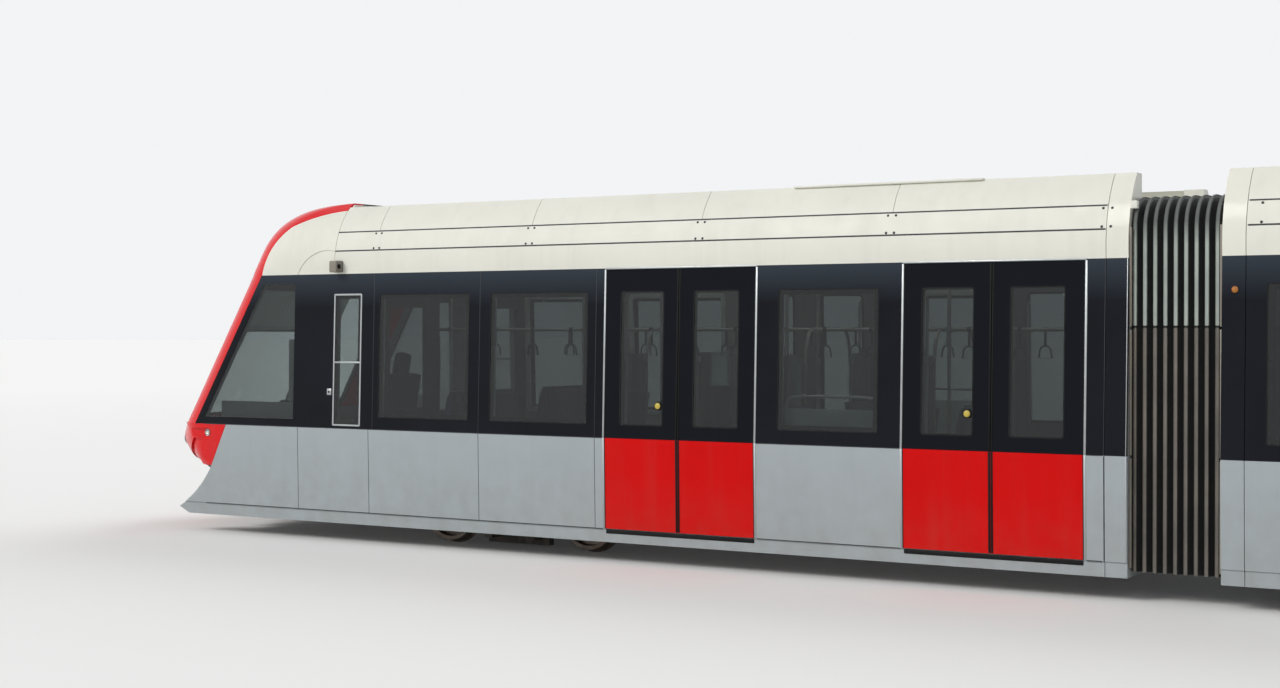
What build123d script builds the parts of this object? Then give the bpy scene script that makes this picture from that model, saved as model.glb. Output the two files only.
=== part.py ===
from build123d import *
import math
import os

# Three-section low-floor tram, double-ended, on four pivoting bogies.
# Millimetres. X runs along the tram, Y across it, Z up.
# The origin is under the middle of the centre section, level with the tips of the wheel flanges.

# Overall layout
total_length = 32500.0
centre_length = 10000.0
gangway_gap = 700.0
end_frame_length = 170.0
seam = 5.0
half_centre = centre_length / 2
end_x = half_centre + gangway_gap
nose_x = total_length / 2
pivot_x = half_centre + gangway_gap / 2
frame_in = end_x + end_frame_length
wall_start = frame_in + seam

# Wheels and bogies
wheel_radius = 295.0
flange_height = 25.0
wheel_back = 680.0
wheel_width = 135.0
flange_width = 30.0
wheel_base = 1600.0
well_length = 2360.0
plate = 30.0
well_reach = well_length / 2 + plate
centre_bogie_x = half_centre - end_frame_length - well_reach
end_bogie_x = nose_x - 4550.0
journal_radius = 60.0
journal_clearance = 0.4
axle_radius = 80.0
disc_radius = 185.0
disc_y = 420.0
axle_half = 1075.0
beam_y = 1000.0
beam_width = 120.0

# Heights above the flange tips
sill_z = 185.0
skirt_z = 305.0
belt_z = 1115.0
band_z = 2625.0
cover_z = 2845.0
crease_z = 3035.0
roof_z = 3290.0
hood_z = 3335.0
floor_low = 255.0
floor_top = 375.0
raised_low = 520.0
raised_top = 560.0
box_low = 760.0
box_top = 800.0
ceiling_z = 2740.0
deck_z = 2800.0

# Half width at the belt, and how far the side tucks in at the other heights
belt_half = 1325.0
sill_half = belt_half - 29.0
skirt_half = belt_half - 17.0
band_half = belt_half - 45.0
crease_half = belt_half - 103.0
roof_half = belt_half - 275.0
hood_half = belt_half - 340.0
wall = 60.0
floor_half = sill_half - wall
beyond = belt_half + 175.0
wheel_box_y = 520.0
cover_pitch = 1790.0
cover_thickness = 34.0

# Doors and windows, measured from the end face of a section
door_width = 1490.0
door_gap = 6.0
door_rebate = 20.0
door_thickness = 41.7
door_bottom = skirt_z + 3.0
door_top = band_z - 8.0
leaf_glass_width = 440.0
glass_low = 1235.0
glass_high = 2415.0
glass_thickness = 12.0
glass_inset = 2.0
glass_gap = 0.3
end_post = 340.0
door_pitch = 2860.0
door_post = 230.0
window_post = 250.0
section_length = nose_x - end_x
cab_slit = (section_length - 3040.0, section_length - 2710.0)
cab_slit_low = 1150.0
cab_slit_high = 2420.0
end_doors = [end_post, end_post + door_pitch]
saloon_start = end_doors[1] + door_width + 200.0
saloon_stop = cab_slit[0] - door_post
saloon_window = (saloon_stop - saloon_start - window_post) / 2
end_windows = [
    (end_doors[0] + door_width + door_post, end_doors[1] - door_post),
    (saloon_start, saloon_start + saloon_window),
    (saloon_stop - saloon_window, saloon_stop),
]
centre_door_inset = 2600.0
centre_post = 110.0
bay_start = 330.0
bay_post = 160.0
bay_stop = centre_door_inset - centre_post
bay_window = (bay_stop - bay_start - bay_post) / 2
centre_doors = [centre_door_inset, centre_length - centre_door_inset - door_width]
centre_windows = [
    (bay_start, bay_start + bay_window),
    (bay_stop - bay_window, bay_stop),
    (centre_doors[0] + door_width + centre_post, half_centre - 70.0),
]

# Nose, set back from its foremost point
cap_x = nose_x - 2700.0
cab_wall_x = nose_x - 3230.0
pillar_foot_x = nose_x - 860.0
pillar_head_x = nose_x - 1740.0
pillar_width = 210.0
arch_inner = 850.0
nose_shell = 45.0
bumper_shell = 60.0
bumper_low = 690.0
chin_low = 600.0
recess_depth = 22.0
trim_gap = 0.3
cowl_top = belt_z + 55.0
cowl_half = 480.0
screen_low = belt_z + trim_gap
screen_high = 2560.0
screen_thickness = 15.0
scoop_depth = 50.0
lip_inset = 30.0
lip_low = 615.0
above_nose = hood_z + 85.0
headlamp_radius = 91.5
headlamp_y = 760.0
headlamp_z = 930.0
scoop_x = nose_x - 1020.0
scoop_z = 1025.0
beam_back = nose_x - 1300.0
beam_front = nose_x - 830.0

# Gangway and articulation
bellows_half = belt_half - 85.0
bellows_low = 230.0
bellows_high = 3105.0
bellows_depth = 62.0
bellows_wall = 70.0
fold_count = 9
gangway_half = 750.0
gangway_high = 2450.0
tongue_low = 205.0
tongue_top = 262.0
pin_radius = 60.0
pin_clearance = 0.5
eye_low = tongue_top + 0.5
eye_top = 322.0
swing_clear = 5.0
bridge_thickness = 8.0
bridge_half = 700.0

axle_z = wheel_radius + flange_height

side_table = [
    # height, half width
    (sill_z, sill_half),
    (skirt_z - 5.0, sill_half),
    (skirt_z, skirt_half),
    (belt_z, belt_half),
    (band_z, band_half),
]


def circle_through(a, b, c):
    """Centre and radius of the circle through three points."""
    ax, ay = a
    bx, by = b
    cx, cy = c
    d = 2 * (ax * (by - cy) + bx * (cy - ay) + cx * (ay - by))
    ux = ((ax**2 + ay**2) * (by - cy) + (bx**2 + by**2) * (cy - ay) + (cx**2 + cy**2) * (ay - by)) / d
    uy = ((ax**2 + ay**2) * (cx - bx) + (bx**2 + by**2) * (ax - cx) + (cx**2 + cy**2) * (bx - ax)) / d
    return ux, uy, math.hypot(ax - ux, ay - uy)


arc_y, arc_z, arc_r = circle_through((band_half, band_z), (crease_half, crease_z), (roof_half, roof_z))


def half_width(z):
    """Half width of the body at a height."""
    if z >= band_z:
        return arc_y + math.sqrt(arc_r**2 - (z - arc_z) ** 2)
    for (z0, w0), (z1, w1) in zip(side_table, side_table[1:]):
        if z <= z1:
            return w0 + (w1 - w0) * (z - z0) / (z1 - z0)


def side_edges(z0, z1, inset):
    """The body side between two heights as lines and arcs, moved in by inset."""
    stops = [z0] + [z for z, _ in side_table if z0 < z < z1] + [z1]
    edges = []
    for a, b in zip(stops, stops[1:]):
        start = (half_width(a) - inset, a)
        stop = (half_width(b) - inset, b)
        if a >= band_z:
            middle = (a + b) / 2
            edges.append(ThreePointArc(start, (half_width(middle) - inset, middle), stop))
        else:
            edges.append(Line(start, stop))
    return edges


def side_layer(z0, z1, outer, inner):
    """A face in the YZ plane between two insets of the body side."""
    edges = side_edges(z0, z1, outer) + side_edges(z0, z1, inner)
    edges.append(Line((half_width(z0) - outer, z0), (half_width(z0) - inner, z0)))
    edges.append(Line((half_width(z1) - outer, z1), (half_width(z1) - inner, z1)))
    return make_face(edges)


def along(face, x0, x1):
    """Extrudes a YZ face from x0 to x1."""
    return Pos(x0, 0, 0) * extrude(Plane.YZ * face, amount=x1 - x0)


def across(face, y0, y1):
    """Extrudes an XZ face from y0 to y1."""
    return Pos(0, y1, 0) * extrude(Plane.XZ * face, amount=y1 - y0)


def block(x0, x1, y0, y1, z0, z1):
    return Pos((x0 + x1) / 2, (y0 + y1) / 2, (z0 + z1) / 2) * Box(x1 - x0, y1 - y0, z1 - z0)


def polygon(points):
    return make_face(Polyline(*points, close=True))


def both_sides(shape):
    return [shape, mirror(shape, about=Plane.XZ)]


def rod(start, stop, radius):
    """A round bar between two points."""
    a, b = Vector(*start), Vector(*stop)
    return extrude(Plane(origin=a, z_dir=b - a) * Circle(radius), amount=(b - a).length)


def solids_of(shapes):
    """Every solid in a nested list of shapes."""
    found = []
    for shape in shapes:
        if isinstance(shape, (list, tuple)):
            found += solids_of(shape)
        else:
            found += list(shape.solids())
    return found


def fuse(shapes):
    parts = solids_of(shapes)
    return parts[0].fuse(*parts[1:]).clean() if len(parts) > 1 else parts[0]


def meet(a, b):
    """What two shapes share, as a list of solids."""
    shared = a & b
    return [] if shared is None else solids_of([shared])


nodes = {}


def keep(name, *shapes):
    nodes[name] = solids_of(shapes)


# Body sides


def opening_cuts(x0, x1, z0, z1):
    """A plain opening through both body sides."""
    return block(x0, x1, -beyond, beyond, z0, z1)


def door_cuts(x0):
    """A doorway with a rebate that the closed leaves rest in."""
    layer = side_layer(skirt_z, band_z, -20, door_thickness + glass_gap)
    outer = along(layer, x0 - door_gap, x0 + door_width + door_gap)
    inner = block(x0 + door_rebate, x0 + door_width - door_rebate, -beyond, beyond, skirt_z, band_z)
    return both_sides(outer) + [inner]


def toe_outline():
    """Side view of the wall's front end: pillar line above the belt, swept toe below it."""
    start = wall_start
    toe_tip = (nose_x - 610.0, 250.0)
    toe_heel = (nose_x - 750.0, sill_z)
    lip = (nose_x - 1080.0, bumper_low)
    corner = (nose_x - 1290.0, belt_z)
    return make_face(
        [
            Polyline((start, sill_z), toe_heel, toe_tip),
            ThreePointArc(toe_tip, (nose_x - 890.0, 450.0), lip),
            Polyline(lip, corner, (pillar_foot_x, belt_z), (pillar_head_x, band_z)),
            Polyline((pillar_head_x, band_z), (start, band_z), (start, sill_z)),
        ]
    )


def cab_window(grow):
    """Side view of the cab's side window, with its front edge along the pillar."""
    lean = (pillar_foot_x - pillar_head_x) / (band_z - belt_z)
    rear = nose_x - 2190.0
    low, high, margin = 1190.0, 2540.0, 90.0

    def front(z):
        return pillar_foot_x - lean * (z - belt_z) - margin

    return polygon(
        [
            (rear - grow, low - grow),
            (front(low - grow) + grow, low - grow),
            (front(high + grow) + grow, high + grow),
            (rear - grow, high + grow),
        ]
    )


def end_walls():
    plate = along(side_layer(sill_z, band_z, 0, wall), wall_start, nose_x)
    plate = solids_of(meet(plate, across(toe_outline(), 0, beyond)))
    walls = [s for p in plate for s in both_sides(p)]
    cuts = [c for u in end_doors for c in door_cuts(end_x + u)]
    cuts += [opening_cuts(end_x + a, end_x + b, glass_low, glass_high) for a, b in end_windows]
    cuts.append(opening_cuts(end_x + cab_slit[0], end_x + cab_slit[1], cab_slit_low, cab_slit_high))
    cuts.append(across(cab_window(0), -beyond, beyond))
    return [w.cut(*solids_of(cuts)) for w in walls]


def centre_stations():
    """Doors and windows of the centre section as X ranges, both halves."""
    doors = [u - half_centre for u in centre_doors]
    windows = [(a - half_centre, b - half_centre) for a, b in centre_windows]
    windows += [(-b, -a) for a, b in windows]
    return doors, windows


def centre_walls():
    reach = half_centre - end_frame_length - seam
    plate = along(side_layer(sill_z, band_z, 0, wall), -reach, reach)
    doors, windows = centre_stations()
    cuts = [c for x in doors for c in door_cuts(x)]
    cuts += [opening_cuts(a, b, glass_low, glass_high) for a, b in windows]
    return [w.cut(*solids_of(cuts)) for w in both_sides(plate.solid())]


def end_frame(face_x, inward):
    """The portal at a section's end: sill, header, two posts and two roof corners beside the trough."""
    x0, x1 = sorted((face_x, face_x + inward * end_frame_length))
    trough_half, trough_low = roof_half - 120.0, deck_z + 60.0
    sill = block(x0, x1, -gangway_half, gangway_half, sill_z, floor_top - swing_clear)
    header = block(x0, x1, -gangway_half, gangway_half, gangway_high, trough_low)
    post = side_edges(sill_z, trough_low, 0)
    post.append(
        Polyline(
            (half_width(trough_low), trough_low),
            (gangway_half, trough_low),
            (gangway_half, sill_z),
            (sill_half, sill_z),
        )
    )
    corner = side_edges(trough_low, roof_z, 0)
    corner.append(
        Polyline(
            (roof_half, roof_z),
            (trough_half, roof_z),
            (trough_half, trough_low),
            (half_width(trough_low), trough_low),
        )
    )
    sides = [along(make_face(outline), x0, x1).solid() for outline in (post, corner)]
    return [sill, header] + both_sides(sides[0]) + both_sides(sides[1])


# Floor and roof


def bogie_module(x):
    """Raised floor, wheel boxes and risers over a bogie, welded up from plates."""
    x0, x1 = x - well_reach, x + well_reach
    inner = wheel_box_y + plate
    pieces = [block(x0, x1, -wheel_box_y, wheel_box_y, raised_low, raised_top)]
    side = [
        block(x0, x1, wheel_box_y, floor_half, box_low, box_top),
        block(x0, x1, wheel_box_y, inner, raised_low, box_low),
    ]
    for a in (x0, x1 - plate):
        pieces.append(block(a, a + plate, -inner, inner, floor_low, raised_low))
        side.append(block(a, a + plate, inner, floor_half, floor_low, box_low))
    return pieces + [p for s in side for p in both_sides(s)]


def floor(x0, x1, bogies):
    """Low floor slabs, with a raised module and its centre pin for each bogie."""
    stops = [x0] + [x + side * well_reach for x in bogies for side in (-1, 1)] + [x1]
    pieces = []
    for a, b in zip(stops[::2], stops[1::2]):
        if b - a > seam:
            pieces.append(block(a, b, -floor_half, floor_half, floor_low, floor_top))
    for x in bogies:
        pieces += bogie_module(x) + [body_pin(x)]
    return pieces


def roof_channel(x0, x1):
    """Ceiling, cantrails and roof deck, an upturned shallow channel."""
    inner_z = ceiling_z
    edges = side_edges(band_z, cover_z, 0)
    edges += [
        Polyline(
            (half_width(cover_z), cover_z),
            (half_width(cover_z) - 70.0, cover_z),
            (half_width(cover_z) - 70.0, deck_z),
            (0, deck_z),
        ),
        Polyline(
            (0, deck_z),
            (0, inner_z),
            (band_half - wall - 60.0, inner_z),
            (band_half - wall, band_z),
            (band_half, band_z),
        ),
    ]
    half = along(make_face(edges), x0, x1).solid()
    return fuse(both_sides(half))


def lower_cover(x0, x1):
    """Roof-side cover under the crease line, with a groove below it."""
    groove, top = 8.0, crease_z - 4.0
    edges = [
        Polyline(
            (half_width(cover_z) - cover_thickness, cover_z),
            (half_width(cover_z) - groove, cover_z),
            (half_width(cover_z + groove) - groove, cover_z + groove),
            (half_width(cover_z + groove), cover_z + groove),
        ),
        Line((half_width(top), top), (half_width(top) - cover_thickness, top)),
    ]
    edges += side_edges(cover_z + groove, top, 0) + side_edges(cover_z, top, cover_thickness)
    return both_sides(along(make_face(edges), x0, x1).solid())


def upper_covers(x0, x1):
    """Hinged covers above the crease line, one bay after another, resting on a rebate of the lower cover."""
    seat, low, rebate = crease_z - 4.0, crease_z + 4.0, 8.0
    edges = [
        Polyline(
            (half_width(seat) - cover_thickness, seat),
            (half_width(seat) - rebate, seat),
            (half_width(low) - rebate, low),
            (half_width(low), low),
        ),
        Line((roof_half, roof_z), (roof_half - cover_thickness, roof_z)),
    ]
    edges += side_edges(low, roof_z, 0) + side_edges(seat, roof_z, cover_thickness)
    profile = make_face(edges)
    covers = []
    start = x0
    while start < x1 - seam:
        stop = start + cover_pitch - seam
        if x1 - stop < cover_pitch / 4:
            stop = x1
        covers += both_sides(along(profile, start, min(stop, x1)).solid())
        start = stop + seam
    return covers


# Nose

nose_table = [
    # height, half width, set back, how far the inner skin drops as a share of the thickness
    (band_z, band_half, 1109.0, 0.0),
    (2770.0, None, 1192.0, 0.0),
    (2870.0, None, 1248.0, 0.0),
    (2970.0, None, 1314.0, 0.0),
    (3060.0, None, 1395.0, 0.1),
    (3140.0, None, 1490.0, 0.25),
    (3205.0, None, 1600.0, 0.4),
    (3255.0, None, 1720.0, 0.6),
    (3292.0, belt_half - 279.0, 1850.0, 0.8),
    (3317.0, belt_half - 305.0, 2000.0, 0.9),
    (hood_z, hood_half, 2190.0, 1.0),
]
nose_foot_back = 196.0
nose_front_radius = 1900.0
nose_corner_radius = 450.0
bumper_table = [
    # height, half width, set back, front radius, corner radius
    (chin_low, None, 430.0, 1550.0, 430.0),
    (bumper_low, None, 270.0, 1550.0, 430.0),
    (810.0, None, 100.0, 1500.0, 430.0),
    (headlamp_z, None, 0.0, 1450.0, 430.0),
    (1030.0, None, 25.0, 1500.0, 430.0),
    (belt_z, belt_half, 165.0, 1850.0, 450.0),
]


def plan_section(z, half, front, radius, corner, back):
    """A rounded nose outline at one height: sides, corner arcs and a broad front arc."""
    centre = front - radius
    cx = centre + math.sqrt((radius - corner) ** 2 - (half - corner) ** 2)
    turn = math.atan2(half - corner, cx - centre)
    meeting = (centre + radius * math.cos(turn), radius * math.sin(turn))
    mid = (math.pi / 2 + turn) / 2
    corner_mid = (cx + corner * math.cos(mid), half - corner + corner * math.sin(mid))
    edges = [
        Line((back, -half), (back, half)),
        Line((back, half), (cx, half)),
        ThreePointArc((cx, half), corner_mid, meeting),
        ThreePointArc(meeting, (front, 0), (meeting[0], -meeting[1])),
        ThreePointArc((meeting[0], -meeting[1]), (corner_mid[0], -corner_mid[1]), (cx, -half)),
        Line((cx, -half), (back, -half)),
    ]
    return Pos(0, 0, z) * make_face(edges)


def nose_solid(inset, back=cap_x - 200.0):
    """The nose from the belt to the hood, moved in by inset: a leaning part, then a rounded one."""

    def section(z, half, setback):
        wide = (half if half else half_width(z)) - inset
        front = nose_x - setback - inset
        return plan_section(z, wide, front, nose_front_radius - inset, nose_corner_radius - inset, back)

    brow = nose_table[0]
    leaning = loft([section(belt_z, belt_half, nose_foot_back), section(*brow[:3])], ruled=True)
    rounded = []
    for z, half, setback, drop in nose_table:
        piece = section(z, half, setback)
        rounded.append(Pos(0, 0, -drop * inset) * piece)
    return fuse([leaning, loft(rounded)])


def bumper_solid(inset, back=nose_x - 1750.0):
    sections = []
    for z, half, setback, radius, corner in bumper_table:
        wide = (half if half else half_width(z)) - inset
        sections.append(plan_section(z, wide, nose_x - setback - inset, radius - inset, corner - inset, back))
    return loft(sections).solid()


def arch_edges(gap):
    """Rear edge of the arch in side view, from the belt up and back along the roof."""
    foot = (pillar_foot_x + gap, belt_z)
    head = (pillar_head_x + gap, band_z)
    knee = (nose_x - 2070.0 + gap, 3110.0 + gap)
    back = (cap_x - 300.0, 3245.0 + gap)
    return [
        Line(foot, head),
        ThreePointArc(head, (nose_x - 1845.0 + gap, 2880.0), knee),
        ThreePointArc(knee, (nose_x - 2370.0, 3208.0 + gap), back),
    ]


def arch_front_edges(gap):
    """Front edge of the arch in side view."""
    foot = (pillar_foot_x + pillar_width + gap, belt_z)
    head = (pillar_head_x + pillar_width + gap, band_z)
    knee = (nose_x - 1830.0 + gap, 3180.0 + gap)
    return [
        Line(foot, head),
        ThreePointArc(head, (nose_x - 1620.0 + gap, 2920.0), knee),
        Line(knee, (nose_x - 2100.0 + gap, above_nose)),
    ]


def front_region(edges, far):
    """Everything in side view ahead of (far > 0) or behind a run of edges."""
    first = edges[0] @ 0
    last = edges[-1] @ 1
    side = nose_x + 400.0 if far > 0 else cap_x - 300.0
    top = above_nose
    run = [(last.X, last.Y)]
    if far > 0:
        if last.Y < top:
            run.append((last.X, top))
        run.append((side, top))
    elif last.X > side + 1:
        run.append((side, last.Y))
    run += [(side, first.Y), (first.X, first.Y)]
    return make_face(edges + [Polyline(*run)])


def arch_sides(gap, back=cap_x):
    """The zones left and right where the arches run."""
    zone = block(back, nose_x + 400, arch_inner - gap, beyond, belt_z, above_nose)
    return fuse(both_sides(zone))


def cheek_groove():
    """Groove that rounds off the front end of the cantrail cover on the cheek."""
    width, depth = 7.0, 8.0
    front = nose_x - 2215.0
    outer = ThreePointArc((cap_x - 10.0, cover_z), (front - 130.0, cover_z - 68.0), (front, band_z - 10.0))
    inner = ThreePointArc(
        (cap_x - 10.0, cover_z - width),
        (front - 130.0 - width, cover_z - 68.0 - width),
        (front - width, band_z - 10.0),
    )
    face = make_face([outer, inner, Line(outer @ 0, inner @ 0), Line(outer @ 1, inner @ 1)])
    skin = nose_solid(-1).cut(nose_solid(depth))
    return meet(skin, across(face, -beyond, beyond))


def nose_pieces():
    """Hood, arches, cheeks and cowl cut from one shell, and the windscreen from a thinner one."""
    outer = nose_solid(0)
    shell = outer.cut(nose_solid(nose_shell))
    ahead_of_arch_rear = across(front_region(arch_edges(0), 1), -beyond, beyond)
    behind_arch_front = across(front_region(arch_front_edges(0), -1), -beyond, beyond)
    sided = meet(shell, arch_sides(0))
    arches = [a for s in sided for r in meet(s, ahead_of_arch_rear) for a in meet(r, behind_arch_front)]
    cheek_zone = across(front_region(arch_edges(-trim_gap), -1), -beyond, beyond)
    brow_zone = block(cap_x, nose_x, -beyond, beyond, band_z, above_nose)
    cheeks = [c for s in sided for r in meet(s, cheek_zone) for c in meet(r, brow_zone)]
    cheeks = solids_of(c.cut(*cheek_groove()) for c in cheeks)
    arch_front = across(front_region(arch_front_edges(trim_gap), -1), -beyond, beyond)
    behind = meet(arch_front, arch_sides(trim_gap, cap_x - 300))
    hood_zone = block(cap_x, nose_x, -beyond, beyond, screen_high + trim_gap, above_nose)
    hood = solids_of(s.cut(*behind) for s in meet(shell, hood_zone))
    cowl = meet(shell, block(cap_x, nose_x + 400, -cowl_half, cowl_half, belt_z, cowl_top))
    pane = nose_solid(glass_inset).cut(nose_solid(glass_inset + screen_thickness))
    lean = (pillar_foot_x - pillar_head_x) / (band_z - belt_z)
    front_low = pillar_foot_x + pillar_width + trim_gap
    front_high = front_low - lean * (screen_high - screen_low)
    glazing = polygon(
        [
            (front_low, screen_low),
            (nose_x + 400, screen_low),
            (nose_x + 400, screen_high),
            (front_high, screen_high),
        ]
    )
    notch_half = cowl_half + trim_gap
    notch = block(cap_x, nose_x + 400, -notch_half, notch_half, screen_low - 1, cowl_top + trim_gap)
    screen = solids_of(p.cut(notch) for p in meet(pane, across(glazing, -beyond, beyond)))
    return arches, cheeks, hood, cowl, screen


def bumper_piece():
    """Lower mask: chin, side recesses under the scoops, lamp mouths."""
    shell = bumper_solid(0).cut(bumper_solid(bumper_shell))
    top_back, low_back = nose_x - 1286.0, nose_x - 1076.0
    rise, run_out = (nose_x - 640.0, bumper_low), (nose_x - 400.0, chin_low + 1.0)
    outline = make_face(
        [
            Polyline(
                rise,
                (low_back, bumper_low),
                (top_back, belt_z),
                (nose_x + 50, belt_z),
                (nose_x + 50, run_out[1]),
                run_out,
            ),
            ThreePointArc(run_out, (nose_x - 520.0, bumper_low - 24.0), rise),
        ]
    )
    piece = meet(shell, across(outline, -beyond, beyond))[0]
    crease = polygon(
        [
            (scoop_x + 60.0, scoop_z - 60.0),
            (scoop_x + 200.0, scoop_z - 60.0),
            (nose_x - 430.0, chin_low - 20.0),
            (nose_x - 870.0, chin_low - 20.0),
        ]
    )
    cuts = meet(bumper_solid(-1).cut(bumper_solid(recess_depth)), across(crease, -beyond, beyond))
    for side in (-1, 1):
        mouth = rod(
            (nose_x - 550, side * headlamp_y, headlamp_z),
            (nose_x + 60, side * headlamp_y, headlamp_z),
            headlamp_radius + 0.5,
        )
        cuts.append(mouth)
        slot_plane = Plane(
            origin=(scoop_x + 110, side * (half_width(scoop_z) + 22), scoop_z),
            x_dir=(1, 0, 0),
            z_dir=(0, side, 0),
        )
        cuts.append(extrude(slot_plane * SlotOverall(330, 84), amount=-scoop_depth))
    return piece.cut(*solids_of(cuts))


def bumper_lip():
    """Grey lip under the rear part of each side of the mask."""
    shell = bumper_solid(lip_inset).cut(bumper_solid(lip_inset + 40.0))
    zone = polygon(
        [
            (nose_x - 1050.0, bumper_low),
            (nose_x - 660.0, bumper_low),
            (nose_x - 700.0, lip_low),
            (nose_x - 1015.0, lip_low),
        ]
    )
    return meet(shell, across(zone, -beyond, beyond))


def lamps():
    """Headlamps and scoop lamps of one end section."""
    pieces = []
    _, _, setback, radius, _ = bumper_table[3]
    front = nose_x - setback - radius + math.sqrt(radius**2 - headlamp_y**2)
    scoop_back = half_width(scoop_z) + 22 - scoop_depth
    for side in (-1, 1):
        y = side * headlamp_y
        lens = rod((front - 75, y, headlamp_z), (front - 22, y, headlamp_z), headlamp_radius)
        pieces.append(fillet(lens.edges().group_by(Axis.X)[-1], 16))
        seat, face = side * (scoop_back + trim_gap), side * (scoop_back + 18)
        pieces.append(rod((scoop_x, seat, scoop_z), (scoop_x, face, scoop_z), 36))
    return pieces


def camera_pod(side):
    """Small rear-view camera arm on the cantrail behind the cab."""
    x, z = cap_x - 60.0, 2690.0
    y = half_width(z)
    body = fillet(block(x - 45, x + 45, y - 40, y + 95, z - 50, z + 60).edges().filter_by(Axis.X), 14)
    body = body - along(side_layer(band_z, cover_z, -glass_gap, wall), x - 60, x + 60)
    return body if side > 0 else mirror(body, about=Plane.XZ)


# Glass


def side_panes(openings, x_from, x_to, z0, z1):
    """Flush panes in plain rectangular openings."""
    face = side_layer(z0 + glass_gap, z1 - glass_gap, glass_inset, glass_inset + glass_thickness)
    layer = along(face, x_from, x_to)
    panes = []
    for a, b in openings:
        pane = meet(layer, block(a + glass_gap, b - glass_gap, 0, beyond, z0, z1))
        panes += [s for p in pane for s in both_sides(p)]
    return panes


def leaf_windows(doors):
    """Clear areas of the two leaves of each door, as X ranges."""
    found = []
    leaf = door_width / 2
    for x in doors:
        for n in (0, 1):
            middle = x + leaf * (n + 0.5)
            found.append((middle - leaf_glass_width / 2, middle + leaf_glass_width / 2))
    return found


def door_leaves(doors):
    """Closed plug-door leaves with their window openings, both sides."""
    reach = (min(doors) - 10, max(doors) + door_width + 10)
    skin = along(side_layer(door_bottom, door_top, 0, door_thickness), *reach)
    leaf = door_width / 2
    leaves = []
    for x in doors:
        for n in (0, 1):
            a, b = x + n * leaf + door_gap / 4, x + (n + 1) * leaf - door_gap / 4
            piece = meet(skin, block(a, b, 0, beyond, door_bottom, door_top))[0]
            leaves.append(piece)
    cuts = [block(a, b, 0, beyond, glass_low, glass_high) for a, b in leaf_windows(doors)]
    cut = [s.cut(*solids_of(cuts)) for s in leaves]
    return [side for s in cut for side in both_sides(s)]


def cab_panes():
    layer = along(side_layer(1150, 2600, glass_inset, glass_inset + glass_thickness), cap_x, nose_x)
    return [s for p in meet(layer, across(cab_window(-glass_gap), 0, beyond)) for s in both_sides(p)]


# Interior

seat_depth = 430.0
seat_width = 870.0
seat_outer = belt_half - 110.0
seat_slope = 20.0 / seat_depth
bogie_seats = [(-1090.0, 1), (320.0, -1), (550.0, 1)]
pole_radius = 17.0
rail_z = 2080.0
rail_y = 320.0
socket = 26.0
doorway_half = rail_y - 30.0


def seat(x, side, facing, base, legs):
    """A double seat: pan, leaning back and pedestal."""
    y0, y1 = sorted((side * seat_outer, side * (seat_outer - seat_width)))
    height = base + legs

    def under(a):
        return height + seat_slope * (a + 10)

    pan = [(-10, under(-10)), (seat_depth, under(seat_depth)), (seat_depth, height + 65), (60, height + 50)]
    back = [(-10, under(-10)), (60, height + 50), (-60, height + 640), (-105, height + 630)]
    foot = [(60, base), (300, base), (300, under(300)), (60, under(60))]
    pieces = []
    for outline, trim in ((pan, 0), (back, 0), (foot, 150)):
        face = polygon([(x + facing * a, b) for a, b in outline])
        pieces.append(across(face, y0 + trim, y1 - trim))
    return pieces


def seats(rows):
    return [seat(x, side, facing, base, legs) for x, facing, base, legs in rows for side in (-1, 1)]


def poles(stations, x0, x1):
    """Grab rails under the ceiling, joined by sockets to stanchions from the floor and hangers above."""
    pieces = []
    for y in (-rail_y, rail_y):
        stops = [x0]
        for x, foot in sorted(stations):
            joint = block(x - socket, x + socket, y - socket, y + socket, rail_z - socket, rail_z + socket)
            pieces.append(fillet(joint.edges(), 5))
            pieces.append(rod((x, y, foot), (x, y, rail_z - socket), pole_radius))
            pieces.append(rod((x, y, rail_z + socket), (x, y, ceiling_z), pole_radius))
            stops += [x - socket, x + socket]
        stops.append(x1)
        pieces += [rod((a, y, rail_z), (b, y, rail_z), pole_radius) for a, b in zip(stops[::2], stops[1::2])]
    return pieces


def cab_interior():
    """Partition with a doorway, driver's seat and desk."""
    x0, x1 = cab_wall_x, cab_wall_x + 40
    partition = block(x0, x1, -seat_outer, seat_outer, floor_top, ceiling_z - 140)
    partition = partition - block(x0 - 1, x1 + 1, -doorway_half, doorway_half, floor_top, 2350)
    for window in both_sides(block(x0 - 1, x1 + 1, 520, seat_outer - 135, 1300, 2300)):
        partition = partition - window
    desk_x = nose_x - 1550.0
    desk_side = polygon(
        [
            (desk_x, floor_top),
            (desk_x + 440, floor_top),
            (desk_x + 440, 670),
            (desk_x + 560, 670),
            (desk_x + 640, 1020),
            (desk_x + 350, 1230),
            (desk_x - 80, 1080),
            (desk_x - 80, 1020),
            (desk_x + 60, 960),
        ]
    )
    knee_room = block(desk_x - 200, desk_x + 250, -doorway_half - 40, doorway_half + 40, floor_top, 900)
    desk = across(desk_side, -900, 900) - knee_room
    base_x = nose_x - 2200.0
    back = polygon([(base_x - 160, 880), (base_x - 250, 880), (base_x - 380, 1600), (base_x - 300, 1620)])
    chair = [
        rod((base_x, 0, floor_top), (base_x, 0, 800), 70),
        block(base_x - 260, base_x + 240, -250, 250, 790, 890),
        across(back, -240, 240),
    ]
    return [partition, desk, fuse(chair)]


# Roof gear


climate_length = 2200.0


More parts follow.
